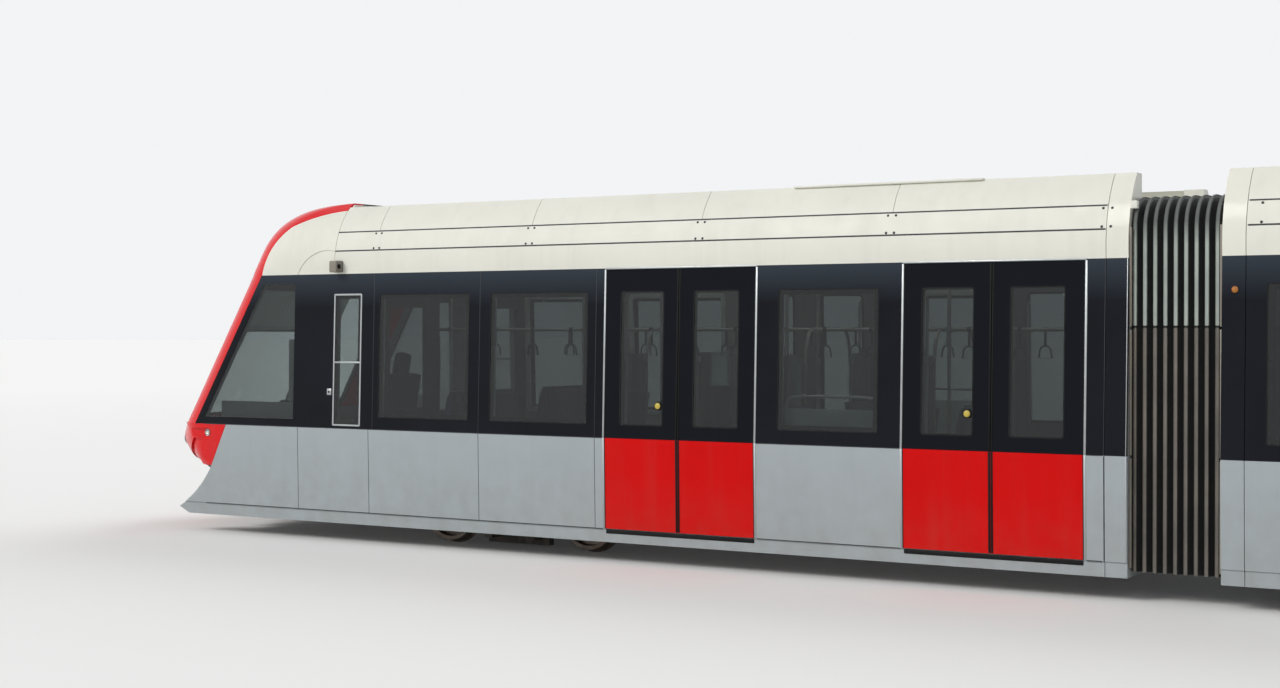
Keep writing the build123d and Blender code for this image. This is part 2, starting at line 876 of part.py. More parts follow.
def roof_unit(x0, x1, half, height):
    """A cased unit on the roof deck with a bevelled lid and cooling slots along both sides."""
    case = block(x0, x1, -half, half, deck_z, deck_z + height)
    case = chamfer(case.edges().group_by(Axis.Z)[-1], 45)
    count = int((x1 - x0 - 300) // 130)
    slots = []
    for n in range(count):
        x = x0 + 150 + n * 130
        slots.append(block(x, x + 60, half - 18, half + 5, deck_z + 90, deck_z + height - 100))
    slots += [mirror(s, about=Plane.XZ) for s in slots]
    return case.cut(*solids_of(slots))


def climate_unit(x0, x1):
    """Air-conditioning unit with two round fan mouths in its lid."""
    height, half = 380.0, 800.0
    case = block(x0, x1, -half, half, deck_z, deck_z + height)
    case = chamfer(case.edges().group_by(Axis.Z)[-1], 70)
    middle = (x0 + x1) / 2
    for dx in (-420, 420):
        case = case - rod((middle + dx, 0, deck_z + height - 60), (middle + dx, 0, deck_z + height + 5), 260)
        case = case + rod((middle + dx, 0, deck_z + height - 62), (middle + dx, 0, deck_z + height - 20), 90)
    return case


def resistor_bank(x0, x1):
    """Brake resistors: an open frame holding a row of thin plates."""
    half, height = 600.0, 300.0
    base = block(x0, x1, -half, half, deck_z, deck_z + 40)
    top = block(x0, x1, -half, half, deck_z + height - 30, deck_z + height)
    count = int((x1 - x0) // 90)
    step = (x1 - x0 - 20) / count
    plates = []
    for n in range(count + 1):
        x = x0 + n * step
        plates.append(block(x, x + 20, -half + 20, half - 20, deck_z + 30, deck_z + height - 20))
    return fuse([base, top] + plates)


# Running gear

spring_x = 240.0
spring_y = 420.0
spring_top = raised_low - glass_gap
motor_x = 490.0
motor_z = 330.0
gear_near, gear_far = 180.0, 290.0
bolster_low, bolster_top = 205.0, 330.0
track_brake_y = 745.0


def bogie_frame(x):
    """Outside-framed bogie with bolster bore, springs, motors, gear cases and track brakes."""
    half_base = wheel_base / 2
    beam = make_face(
        Polyline(
            (-980, 230), (-640, 230), (-520, 185), (520, 185), (640, 230), (980, 230),
            (980, 420), (640, 420), (520, 345), (-520, 345), (-640, 420), (-980, 420), (-980, 230),
        )
    )
    pieces = [across(beam, s * beam_y - beam_width / 2, s * beam_y + beam_width / 2) for s in (-1, 1)]
    for bx in (-spring_x, spring_x):
        pieces.append(block(bx - 75, bx + 75, -beam_y + 50, beam_y - 50, bolster_low, bolster_top))
    pieces.append(block(-spring_x, spring_x, -300, 300, bolster_low + 10, bolster_top - 10))
    pieces.append(rod((0, 0, bolster_low), (0, 0, 420), 190))
    for sx in (-1, 1):
        axle_x = sx * half_base
        gear_x = (axle_x + sx * motor_x) / 2
        gear_reach = (half_base - motor_x) / 2
        pieces.append(rod((sx * motor_x, -260, motor_z), (sx * motor_x, gear_near, motor_z), 150))
        pieces.append(block(sx * 350 - 50, sx * 350 + 50, -200, 150, 230, 320))
        pieces.append(rod((axle_x, gear_near, axle_z), (axle_x, gear_far, axle_z), 185))
        pieces.append(block(gear_x - gear_reach, gear_x + gear_reach, gear_near, gear_far, 230, 440))
        for sy in (-1, 1):
            px, py = sx * spring_x, sy * spring_y
            pieces.append(rod((px, py, bolster_top - 5), (px, py, bolster_top + 30), 120))
            for ring in range(4):
                z = bolster_top + 28 + ring * 36
                pieces.append(rod((px, py, z), (px, py, z + 20), 105))
            pieces.append(rod((px, py, bolster_top + 10), (px, py, spring_top - 20), 82))
            pieces.append(rod((px, py, spring_top - 24), (px, py, spring_top), 115))
            hanger_y = sy * (track_brake_y + 97.5)
            pieces.append(block(px - 40, px + 40, hanger_y - 102.5, hanger_y + 102.5, 100, 230))
    for sy in (-1, 1):
        shoe_y = sy * track_brake_y
        pieces.append(block(-350, 350, shoe_y - 38, shoe_y + 38, 42, 120))
    frame = fuse(pieces)
    cuts = [rod((0, 0, 190), (0, 0, 430), pin_radius + 41)]
    for sx in (-1, 1):
        axle_x = sx * half_base
        cuts.append(rod((axle_x, -1200, axle_z), (axle_x, 1200, axle_z), journal_radius + journal_clearance))
        cuts.append(rod((axle_x, gear_near - 5, axle_z), (axle_x, gear_far + 5, axle_z), axle_radius + 5))
    return Pos(x, 0, 0) * frame.cut(*solids_of(cuts))


def wheelset(x):
    """Axle with journals, brake discs and two flanged wheels, turned in one piece."""
    rim = 240.0
    half = [
        # distance from the middle, radius
        (0, axle_radius),
        (disc_y - 55, axle_radius),
        (disc_y - 55, 110),
        (disc_y - 25, 110),
        (disc_y - 25, disc_radius),
        (disc_y + 25, disc_radius),
        (disc_y + 25, 110),
        (disc_y + 55, 110),
        (disc_y + 55, axle_radius),
        (wheel_back - 15, axle_radius),
        (wheel_back - 15, 120),
        (wheel_back + 40, 130),
        (wheel_back + 40, rim),
        (wheel_back, rim + 10),
        (wheel_back, wheel_radius + flange_height - 8),
        (wheel_back + 8, wheel_radius + flange_height),
        (wheel_back + 20, wheel_radius + flange_height - 3),
        (wheel_back + flange_width, wheel_radius),
        (wheel_back + wheel_width - 6, wheel_radius - 4),
        (wheel_back + wheel_width, wheel_radius - 10),
        (wheel_back + wheel_width, rim + 8),
        (wheel_back + 80, rim),
        (wheel_back + 80, 130),
        (wheel_back + wheel_width + 10, 120),
        (wheel_back + wheel_width + 10, axle_radius),
        (895, axle_radius),
        (905, journal_radius),
        (axle_half - 5, journal_radius),
        (axle_half, journal_radius - 5),
    ]
    other_half = [(-y, r) for y, r in reversed(half[1:])]
    run = half + [(axle_half, 0), (-axle_half, 0)] + other_half
    face = make_face(Plane.YZ * Polyline(*run, close=True))
    return Pos(x, 0, axle_z) * revolve(face, axis=Axis.Y)


def body_pin(x):
    """Centre pin under the raised floor, running in the bogie's bore."""
    return rod((x, 0, 250), (x, 0, raised_low), pin_radius + 40)


# Articulation


def gangway_tongue(sign):
    """Tongue, pin and bridging plate carried by the centre section."""
    root = half_centre
    tongue = block(root, pivot_x, -150, 150, tongue_low, tongue_top)
    head = rod((pivot_x, 0, tongue_low), (pivot_x, 0, tongue_top), 150)
    low, high = floor_top + swing_clear, floor_top + swing_clear + bridge_thickness
    pin = rod((pivot_x, 0, tongue_top - 1), (pivot_x, 0, low + 1), pin_radius)
    disc = rod((pivot_x, 0, low), (pivot_x, 0, high), 740)
    plate = disc + block(root - 90, pivot_x, -bridge_half, bridge_half, low, high)
    plate = plate & block(root - 90, pivot_x + 480, -bridge_half, bridge_half, low, high)
    shape = fuse([tongue, head, pin, plate])
    return shape if sign > 0 else mirror(shape, about=Plane.YZ)


def gangway_eye():
    """Eye on the end section's portal that turns on the pin."""
    arm = block(pivot_x, end_x, -140, 140, eye_low, eye_top)
    ring = rod((pivot_x, 0, eye_low), (pivot_x, 0, eye_top), 140)
    bore = rod((pivot_x, 0, eye_low - 1), (pivot_x, 0, eye_top + 1), pin_radius + pin_clearance)
    return fuse([arm, ring]).cut(bore)


def bellows():
    """Corrugated gangway hood: folds between ridge and valley outlines, open below."""
    x0 = half_centre
    length = gangway_gap - glass_gap
    step = length / (2 * fold_count)
    low = bellows_low - 200.0

    def ring(x, shrink, corner):
        half = bellows_half - shrink
        z0, z1 = low, bellows_high - shrink
        face = Pos(0, (z0 + z1) / 2) * RectangleRounded(2 * half, z1 - z0, corner - shrink)
        return Pos(x, 0, 0) * (Plane.YZ * face)

    sections = []
    for n in range(2 * fold_count + 1):
        sections.append(ring(x0 + n * step, 0 if n % 2 else bellows_depth, 260))
    outer = loft(sections, ruled=True)
    thick = bellows_depth + bellows_wall
    inside = RectangleRounded(2 * (bellows_half - thick), bellows_high - thick - low, 120)
    core = along(Pos(0, (low + bellows_high - thick) / 2) * inside, x0 - 1, x0 + length + 1)
    under = block(x0 - 1, x0 + length + 1, -beyond, beyond, low - 1, bellows_low)
    return (outer - core - under).solid()


# Pantograph

panto_base = (600.0, 3080.0)
panto_rod_base = (460.0, 2985.0)
lower_arm = 1500.0
upper_arm = 1760.0
lower_rise_deg = 4.0
upper_rise_deg = 7.0
elbow = (
    panto_base[0] - lower_arm * math.cos(math.radians(lower_rise_deg)),
    panto_base[1] + lower_arm * math.sin(math.radians(lower_rise_deg)),
)
head_pin = (
    elbow[0] + upper_arm * math.cos(math.radians(upper_rise_deg)),
    elbow[1] + upper_arm * math.sin(math.radians(upper_rise_deg)),
)
shaft_radius = 25.0
elbow_radius = 18.0
head_tube_radius = 16.0
link_pin_radius = 12.0
running_gap = 0.5
tail_reach = 95.0
tail_deg = 233.0
tail = (
    elbow[0] + tail_reach * math.cos(math.radians(tail_deg)),
    elbow[1] + tail_reach * math.sin(math.radians(tail_deg)),
)
link_y = -75.0


def panto_frame():
    """Base frame on four insulators, with bearing lugs for the lower arm and the rod."""
    pieces = []
    for x in (-250, 750):
        for y in (-430, 430):
            for ring in range(4):
                z = deck_z + ring * 32
                pieces.append(rod((x, y, z), (x, y, z + 18), 70))
            pieces.append(rod((x, y, deck_z), (x, y, 2935), 42))
        pieces.append(block(x - 35, x + 35, -480, 480, 2930, 2980))
    for y in (-300, 300):
        pieces.append(block(-285, 785, y - 30, y + 30, 2930, 2980))
        ear = make_face(
            [
                Polyline((560, 3090), (540, 2975), (660, 2975), (640, 3090)),
                ThreePointArc((640, 3090), (600, 3130), (560, 3090)),
            ]
        )
        pieces.append(across(ear, y - 20, y + 20))
    pieces.append(block(380, 540, -300, 300, 2925, 2948))
    for y in (link_y - 36, link_y + 36):
        pieces.append(block(430, 490, y - 8, y + 8, 2940, 3010))
    frame = fuse(pieces)
    bx, bz = panto_base
    lx, lz = panto_rod_base
    shaft_bore = rod((bx, -400, bz), (bx, 400, bz), shaft_radius + running_gap)
    link_bore = rod((lx, link_y - 60, lz), (lx, link_y + 60, lz), link_pin_radius + running_gap)
    return frame.cut(shaft_bore, link_bore)


def panto_lower():
    """Lower arm: shaft in the base lugs, one thick tube and a forked elbow."""
    bx, bz = panto_base
    ex, ez = elbow
    shaft = rod((bx, -330, bz), (bx, 330, bz), shaft_radius)
    sleeve = rod((bx, -270, bz), (bx, 270, bz), 45)
    start, stop, low, high = 210, 280, -46, -8
    share = (start + 35) / (bx - ex)
    tube = rod((bx, 0, bz), (ex + start + 35, 0, ez - share * (ez - bz)), 42)
    yoke = block(ex + start, ex + stop, -150, 150, ez + low, ez + high)
    side = polygon(
        [
            (ex - 30, ez - 35),
            (ex + stop, ez + low),
            (ex + stop, ez + high),
            (ex + 30, ez + 30),
            (ex - 30, ez + 35),
        ]
    )
    ears = [across(side, y - 12, y + 12) for y in (-138, 138)]
    shape = fuse([shaft, sleeve, tube, yoke] + ears)
    return shape.cut(rod((ex, -200, ez), (ex, 200, ez), elbow_radius + running_gap))


def panto_upper():
    """Upper arm: elbow shaft, two converging tubes and a cross tube for the head."""
    ex, ez = elbow
    hx, hz = head_pin
    tx, tz = tail
    pieces = [rod((ex, -158, ez), (ex, 158, ez), elbow_radius), rod((ex, -118, ez), (ex, 118, ez), 30)]
    for s in (-1, 1):
        pieces.append(rod((ex, s * 90, ez), (hx, s * 180, hz), 19))
        lug = polygon(
            [
                (tx - 22, tz - 10),
                (tx + 5, tz - 25),
                (tx + 25, tz - 10),
                (ex + 22, ez - 15),
                (ex - 10, ez + 22),
                (ex - 28, ez),
            ]
        )
        pieces.append(across(lug, link_y + s * 27 - 6, link_y + s * 27 + 6))
    pieces.append(rod((hx, -318, hz), (hx, 318, hz), head_tube_radius))
    cross = 0.55
    cx, cz = ex + cross * (hx - ex), ez + cross * (hz - ez)
    pieces.append(rod((cx, -130, cz), (cx, 130, cz), 13))
    shape = fuse(pieces)
    return shape.cut(rod((tx, link_y - 60, tz), (tx, link_y + 60, tz), 10))


def panto_link():
    """Coupling rod from the base to the tail of the upper arm, its far eye left open."""
    bx, bz = panto_rod_base
    tx, tz = tail
    y = link_y
    share = 40 / (bx - tx)
    bar = rod((bx, y, bz), (tx + 40, y, tz - share * (tz - bz)), 15)
    pin = rod((bx, y - 46, bz), (bx, y + 46, bz), link_pin_radius)
    boss = rod((bx, y - 26, bz), (bx, y + 26, bz), 23)
    return fuse([pin, bar, boss])


def panto_head():
    """Collector head: two carbon strips on a sprung frame, with turned-down horns."""
    hx, hz = head_pin
    pieces = []
    for s in (-1, 1):
        hub = rod((hx, s * 290 - 24, hz), (hx, s * 290 + 24, hz), 34)
        pieces.append(hub)
        pieces.append(block(hx - 190, hx + 190, s * 290 - 14, s * 290 + 14, hz + 10, hz + 40))
    for dx in (-170, 170):
        strip = block(hx + dx - 28, hx + dx + 28, -520, 520, hz + 38, hz + 78)
        pieces.append(strip)
        for s in (-1, 1):
            horn = [(hx + dx, s * 505, hz + 58), (hx + dx, s * 680, hz + 30), (hx + dx, s * 800, hz - 90)]
            pieces.append(rod(horn[0], horn[1], 14))
            pieces.append(rod(horn[1], horn[2], 14))
            pieces.append(Pos(*horn[1]) * Sphere(14))
    shape = fuse(pieces)
    return shape.cut(rod((hx, -400, hz), (hx, 400, hz), head_tube_radius + trim_gap))


# Coupler and front beam

coupler_half = 140.0
coupler_room = 20.0


def front_beam():
    """Crash beam under the cab floor behind the bumper."""
    deck = block(beam_back, beam_back + 250, -1100, 1100, floor_low, floor_top)
    beam = block(beam_back + 250, beam_front, -900, 900, 300, 660)
    return [deck, beam]


def coupler():
    """Automatic coupler: shank, square head and centring cone, stowed under the bumper."""
    face_x = nose_x - 90.0
    z = chin_low - coupler_half - coupler_room
    shank = rod((beam_front, 0, z), (face_x - 250, 0, z), 62)
    collar = block(beam_front, beam_front + 60, -160, 160, z - 110, z + 110)
    head = block(face_x - 270, face_x, -170, 170, z - coupler_half, z + coupler_half)
    head = chamfer(head.edges().group_by(Axis.X)[-1], 30)
    bore = rod((face_x - 120, -85, z + 30), (face_x + 1, -85, z + 30), 45)
    base = Plane(origin=(face_x - 5, 85, z + 30), z_dir=(1, 0, 0)) * Circle(48)
    tip = Plane(origin=(face_x + 80, 85, z + 30), z_dir=(1, 0, 0)) * Circle(20)
    cone = loft([base, tip])
    return fuse([shank, collar, (head - bore), cone])


# Sections put together


def turned(shapes):
    """The same pieces at the other end of the tram."""
    return [Rot(0, 0, 180) * s for s in solids_of(shapes)]


def build_end():
    parts = {}
    parts["shell"] = end_walls() + end_frame(end_x, 1) + [gangway_eye()] + bumper_lip()
    parts["floor"] = floor(frame_in, beam_back, [end_bogie_x]) + front_beam()
    parts["roof"] = [roof_channel(wall_start, cap_x - seam)]
    arches, cheeks, hood, cowl, screen = nose_pieces()
    covers = lower_cover(wall_start, cap_x - seam) + upper_covers(wall_start, cap_x - seam)
    parts["fairings"] = covers + cheeks
    parts["mask"] = [fuse([arches, cowl, bumper_piece()])]
    parts["hood"] = hood
    parts["windscreen"] = screen
    doors = [end_x + u for u in end_doors]
    windows = [(end_x + a, end_x + b) for a, b in end_windows]
    panes = side_panes(windows + leaf_windows(doors), wall_start, cap_x, glass_low, glass_high)
    slit = [(end_x + cab_slit[0], end_x + cab_slit[1])]
    panes += side_panes(slit, wall_start, cap_x, cab_slit_low, cab_slit_high)
    parts["glass"] = panes + cab_panes()
    parts["doors"] = door_leaves(doors)
    rows = [
        (windows[0][0] - 50, 1, floor_top, 400),
        (windows[0][1] + 50, -1, floor_top, 400),
    ]
    rows += [(end_bogie_x + dx, facing, box_top, 60) for dx, facing in bogie_seats]
    parts["seats"] = seats(rows)
    stations = [(x + dx, floor_top) for x in doors for dx in (180, door_width)]
    stations += [(end_bogie_x + dx, raised_top) for dx in (-440, 1150)]
    parts["poles"] = poles(stations, end_x + 420, cab_wall_x)
    parts["cab"] = cab_interior()
    gear_x = end_x + 1300
    case_x = gear_x + climate_length + 600
    room = cap_x - 650 - case_x - 300
    parts["roof_gear"] = [
        climate_unit(gear_x, gear_x + climate_length),
        roof_unit(case_x, case_x + 0.54 * room, 780, 330),
        roof_unit(case_x + 0.54 * room + 300, cap_x - 650, 700, 280),
    ]
    parts["coupler"] = [coupler()]
    parts["lamps"] = lamps() + [camera_pod(s) for s in (-1, 1)]
    return parts


def build_centre():
    parts = {}
    inner = half_centre - end_frame_length
    frames = []
    for sign in (-1, 1):
        frames += end_frame(sign * half_centre, -sign) + [gangway_tongue(sign)]
    parts["shell"] = centre_walls() + frames
    parts["floor"] = floor(-inner, inner, [-centre_bogie_x, centre_bogie_x])
    reach = inner - seam
    parts["roof"] = [roof_channel(-reach, reach)]
    parts["fairings"] = lower_cover(-reach, reach) + upper_covers(-reach, reach)
    doors, windows = centre_stations()
    parts["glass"] = side_panes(windows + leaf_windows(doors), -reach, reach, glass_low, glass_high)
    parts["doors"] = door_leaves(doors)
    aisle_end = doors[1] - 40
    rows = [(-aisle_end, 1, floor_top, 400), (aisle_end, -1, floor_top, 400)]
    for s in (-1, 1):
        rows += [(s * (centre_bogie_x + dx), s * facing, box_top, 60) for dx, facing in bogie_seats]
    parts["seats"] = seats(rows)
    stations = []
    for s in (-1, 1):
        stations += [(s * (doors[1] + 140), floor_top), (s * (doors[1] + door_width - 100), floor_top)]
        stations.append((s * (centre_bogie_x - 440), raised_top))
    parts["poles"] = poles(stations, -half_centre + 500, half_centre - 500)
    gear_x = half_centre - 700
    parts["roof_gear"] = [
        climate_unit(gear_x - climate_length, gear_x),
        resistor_bank(-half_centre + 2100, -half_centre + 3500),
        roof_unit(-half_centre + 500, -half_centre + 1800, 750, 300),
    ]
    return parts


for part_name, shapes in build_end().items():
    keep("car_b_" + part_name, shapes)
    keep("car_a_" + part_name, turned(shapes))
for part_name, shapes in build_centre().items():
    keep("car_c_" + part_name, shapes)

keep("bellows_b", bellows())
keep("bellows_a", turned([bellows()]))

bogie_places = [-end_bogie_x, -centre_bogie_x, centre_bogie_x, end_bogie_x]
for number, place in enumerate(bogie_places, 1):
    keep(f"bogie_{number}_frame", bogie_frame(place))
    for index, step in enumerate((-wheel_base / 2, wheel_base / 2)):
        keep(f"wheelset_{2 * number - 1 + index}", wheelset(place + step))

keep("panto_frame", panto_frame())
keep("panto_lower_arm", panto_lower())
keep("panto_upper_arm", panto_upper())
keep("panto_rod", panto_link())
keep("panto_head", panto_head())

os.makedirs("parts", exist_ok=True)
for name, pieces in nodes.items():
    export_step(Compound(pieces), f"parts/{name}.step")
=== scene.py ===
import math

import bmesh
import bpy
from mathutils import Matrix, Vector


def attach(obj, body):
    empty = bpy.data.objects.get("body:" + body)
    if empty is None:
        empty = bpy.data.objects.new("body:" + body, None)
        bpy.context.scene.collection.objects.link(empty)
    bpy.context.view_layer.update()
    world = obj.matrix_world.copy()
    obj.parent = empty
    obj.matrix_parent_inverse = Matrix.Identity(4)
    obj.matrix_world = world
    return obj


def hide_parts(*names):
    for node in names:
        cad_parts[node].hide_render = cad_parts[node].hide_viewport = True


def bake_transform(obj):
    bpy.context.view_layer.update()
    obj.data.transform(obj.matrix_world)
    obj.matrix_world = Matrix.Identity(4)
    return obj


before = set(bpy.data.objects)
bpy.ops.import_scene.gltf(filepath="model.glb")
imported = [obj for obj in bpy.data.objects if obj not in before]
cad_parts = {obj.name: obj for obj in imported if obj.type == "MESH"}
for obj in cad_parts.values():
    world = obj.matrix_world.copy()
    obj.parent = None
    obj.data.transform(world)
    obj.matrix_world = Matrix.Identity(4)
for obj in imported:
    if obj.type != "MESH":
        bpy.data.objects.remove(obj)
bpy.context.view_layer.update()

# Metres. X runs along the tram, Y across it, Z up, as in the frame.
# Pieces of an end section are modelled at the +X end and on the +Y side, then mirrored and turned round.

# Body side: heights and half widths, and the roof cover's arc above it
SKIRT_Z, SKIRT_Y = 0.305, 1.308
BELT_Z, BELT_Y = 1.115, 1.325
BAND_Z, BAND_Y = 2.625, 1.280
COVER_Y, COVER_AT, COVER_R = 0.4817, 2.7212, 0.8041
WALL = 0.060
# Heights over which a painted sky reflection lightens the top of the black band
BAND_SKY_REFLECTION = (2.300, 2.620)

# Floor, boxes under the seats over the bogies, roof deck
FLOOR_Z, BOX_Z, DECK_Z = 0.375, 0.800, 2.800

# The centre section ends at CENTRE_END. Places along an end section are counted from its inner face.
CENTRE_END, END_X = 5.000, 5.700
SIDE_START, SIDE_STOP = 0.190, 9.550
END_DOORS = (0.340, 3.200)
END_WINDOWS = ((2.060, 2.970), (4.890, 5.960), (6.210, 7.280))
CAB_SLIT, CAB_SLIT_Z = (7.510, 7.840), (1.150, 2.420)
PANEL_JOINTS = (0.177, 4.800, 6.085, 7.400, 8.300)
BAND_JOINTS = (0.177, 4.800, 6.085, 7.350)

# Along the centre section, from its middle
CENTRE_DOORS = (-2.400, 0.910)
HALF_WINDOWS = ((0.070, 0.800), (2.510, 3.510), (3.670, 4.670))
CENTRE_WINDOWS = [(-b, -a) for a, b in HALF_WINDOWS[::-1]] + list(HALF_WINDOWS)
CENTRE_JOINTS = (0.0, 3.590)
MARKER_X, MARKER_Z = 4.905, 2.375

# Doors and glass
DOOR_WIDTH, LEAF_GLASS = 1.490, 0.440
DOOR_FOOT, DOOR_TOP = SKIRT_Z + 0.006, BAND_Z - 0.012
GLASS_Z = (1.235, 2.415)
BUTTON_Z, BUTTON_ASIDE = 1.410, 0.195

# Windscreen: lower and upper edge of its clear part, and its edge along the arch
SCREEN_Z = (1.185, 2.560)
SCREEN_EDGE_X, SCREEN_LEAN = 15.600, 0.5828
BLIND_HALF, BLIND_TOP, BLIND_FOOT, BLIND_BEHIND = 0.720, 2.515, 2.070, 0.075

# Gangway bellows: outline, folds, the joint halfway up and the darker grey shoulders
FOLD_HALF, FOLD_TOP, FOLD_FOOT, FOLD_CORNER = 1.240, 3.105, 0.232, 0.260
FOLD_DEPTH, FOLD_COUNT, FOLD_STEPS = 0.060, 9, 8
FOLD_BREAK, FOLD_SHOULDER = 2.100, (2.720, 2.900)
POST_Z = ((0.260, 1.100), (1.120, 2.080), (2.100, 2.860))

# Nose: headlamps, lamps in the scoops, the shaded lip and the camera pods. AHEAD_X is ahead of it all.
LAMP_Y, LAMP_Z = 0.760, 0.930
SCOOP_X, SCOOP_Y, SCOOP_Z = 15.230, 1.3131, 1.025
LIP_X, LIP_Z = 15.240, (0.610, 0.705)
POD_X, POD_Y, POD_Z = (13.445, 13.535), (1.282, 1.380), (2.640, 2.750)
AHEAD_X = 17.500

# Saloon and cab
RAIL_Y, RAIL_Z = 0.320, 2.080
STRIP_Y = 0.600
SEAT_OUTER, SEAT_WIDTH = BELT_Y - 0.110, 0.870
SEAT_LEGS, BOX_LEGS = 0.400, 0.060
BOGIE_SEATS = ((-1.090, 1), (0.320, -1), (0.550, 1))
PANE_PLACES, PANE_Y, PANE_Z = (1.905, 3.125, 4.765), (0.500, 1.180), (0.500, 1.860)
CAB_FRONT, CAB_SEAT_X = 14.900, 14.050

# Roof: climate units, lids as (from, to, half width, top), pipes beside them, covers and the hood's back
FAN_STEP, CLIMATE_TOP = 0.420, 3.180
END_CLIMATE, CENTRE_CLIMATE = 8.100, 3.200
END_LIDS = (
    (7.06, 7.36, 0.70, 3.180), (8.84, 9.14, 0.70, 3.180), (9.86, 10.54, 0.72, 3.130),
    (10.57, 11.25, 0.72, 3.130), (11.67, 12.84, 0.64, 3.080),
)
CENTRE_LIDS = (
    (2.16, 2.46, 0.70, 3.180), (3.94, 4.24, 0.70, 3.180), (-4.44, -3.88, 0.69, 3.100),
    (-3.82, -3.26, 0.69, 3.100), (-2.84, -2.24, 0.54, 3.100), (-2.16, -1.56, 0.54, 3.100),
)
DECK_RUNS = ((-0.92, 0.022), (-0.98, 0.016), (0.92, 0.022))
PIPE_CLAMP = 0.90
COVER_SEAMS = tuple(0.175 + 1.790 * n for n in range(5))
CENTRE_SCREWS = (0.86, 0.93, 2.65, 2.72, 4.72)
SCREW_Z = (2.868, 3.012)
COVER_LINE_Z, COVER_LINE_HIGH = (2.849, 3.035), 0.014
CAP_X, HOOD_BACK_Z = 13.550, 3.318
INSULATOR_Z = 2.9235

# Bogies
BOGIE_X = (-11.700, -3.620, 3.620, 11.700)
AXLE_X, AXLE_Y, AXLE_Z = 0.800, 1.062, 0.320


def srgb(r, g, b):
    """Linear colour of a display colour given as 0 to 255."""

    def part(value):
        c = value / 255
        return c / 12.92 if c <= 0.04045 else ((c + 0.055) / 1.055) ** 2.4

    return (part(r), part(g), part(b), 1.0)


def scaled(colour, factor):
    """A linear colour made lighter or darker by a factor."""
    return [min(1.0, c * factor) for c in colour[:3]] + [1.0]


# Finishes

ROAD_DUST = srgb(120, 112, 100)


class Finish:
    """A material under construction: short calls that add nodes and join them."""

    def __init__(self, name, rough=0.5, metal=0.0, **sockets):
        self.material = bpy.data.materials.new(name)
        self.material.use_nodes = True
        self.tree = self.material.node_tree
        self.shader = self.tree.nodes["Principled BSDF"]
        self.shader.inputs["Roughness"].default_value = rough
        self.shader.inputs["Metallic"].default_value = metal
        for key, value in sockets.items():
            self.shader.inputs[key.replace("_", " ")].default_value = value
        self.coord = self.tree.nodes.new("ShaderNodeTexCoord").outputs["Object"]
        self.x, self.y, self.z = self.node("SeparateXYZ", self.coord).outputs

    def node(self, kind, *ins, **settings):
        made = self.tree.nodes.new("ShaderNode" + kind)
        for key, value in settings.items():
            setattr(made, key, value)
        for slot, value in zip(made.inputs, ins):
            self.feed(slot, value)
        return made

    def feed(self, slot, value):
        if isinstance(value, bpy.types.NodeSocket):
            self.tree.links.new(value, slot)
        elif value is not None:
            slot.default_value = value

    def math(self, operation, a, b=None):
        return self.node("Math", a, b, operation=operation).outputs[0]

    def times(self, a, b):
        return self.math("MULTIPLY", a, b)

    def plus(self, a, b):
        return self.math("ADD", a, b)

    def less(self, a, b):
        return self.math("SUBTRACT", a, b)

    def size(self, a):
        return self.math("ABSOLUTE", a)

    def wave(self, a, rate):
        return self.math("SINE", self.times(a, rate))

    def noise(self, scale, detail, stretch=(1, 1, 1), rough=0.55):
        """Noise in Object coordinates, which a stretch scales along each axis."""
        mapping = self.node("Mapping", self.coord)
        mapping.inputs["Scale"].default_value = stretch
        made = self.node("TexNoise", mapping.outputs[0])
        made.inputs["Scale"].default_value = scale
        made.inputs["Detail"].default_value = detail
        made.inputs["Roughness"].default_value = rough
        return made.outputs["Fac"]

    def ramp(self, factor, low, high, start=0.0, stop=1.0):
        """Maps a factor's range start to stop onto low to high, clamped."""
        return self.node("MapRange", factor, start, stop, low, high).outputs[0]

    def wander(self, scale, detail, low, high, start=0.3, stop=0.7, **noise):
        """A value that wanders between low and high."""
        return self.ramp(self.noise(scale, detail, **noise), low, high, start, stop)

    def mix(self, factor, a, b, blend="MIX"):
        made = self.node("Mix", data_type="RGBA", blend_type=blend)
        self.feed(made.inputs["Factor"], factor)
        self.feed(made.inputs[6], a)
        self.feed(made.inputs[7], b)
        return made.outputs[2]

    def patches(self, scale, detail, ground, patch, start=0.3, stop=0.7, most=1.0, **noise):
        """A ground colour with soft patches of another."""
        return self.mix(self.wander(scale, detail, 0, most, start, stop, **noise), ground, patch)

    def shaded(self, colour, factor):
        """A colour made lighter or darker by a plain factor."""
        grey = self.node("CombineColor", factor, factor, factor).outputs[0]
        return self.mix(1.0, colour, grey, "MULTIPLY")

    def above(self, height, below, over):
        """One colour below a height and another above it."""
        return self.mix(self.ramp(self.z, 0, 1, height - 0.0005, height + 0.0005), below, over)

    def depth(self):
        """How deep a point lies behind the outer face of the body side."""
        rise = self.ramp(self.z, SKIRT_Y, BELT_Y, SKIRT_Z, BELT_Z)
        fall = self.ramp(self.z, 0.0, BELT_Y - BAND_Y, BELT_Z, BAND_Z)
        return self.less(self.less(rise, fall), self.size(self.y))

    def colour(self, value):
        self.feed(self.shader.inputs["Base Color"], value)

    def rough(self, value):
        self.feed(self.shader.inputs["Roughness"], value)

    def bump(self, height, strength, distance):
        made = self.node("Bump")
        made.inputs["Strength"].default_value = strength
        made.inputs["Distance"].default_value = distance
        self.feed(made.inputs["Height"], height)
        self.feed(self.shader.inputs["Normal"], made.outputs[0])

    def grain(self, scale, detail, strength, distance, **noise):
        self.bump(self.noise(scale, detail, **noise), strength, distance)


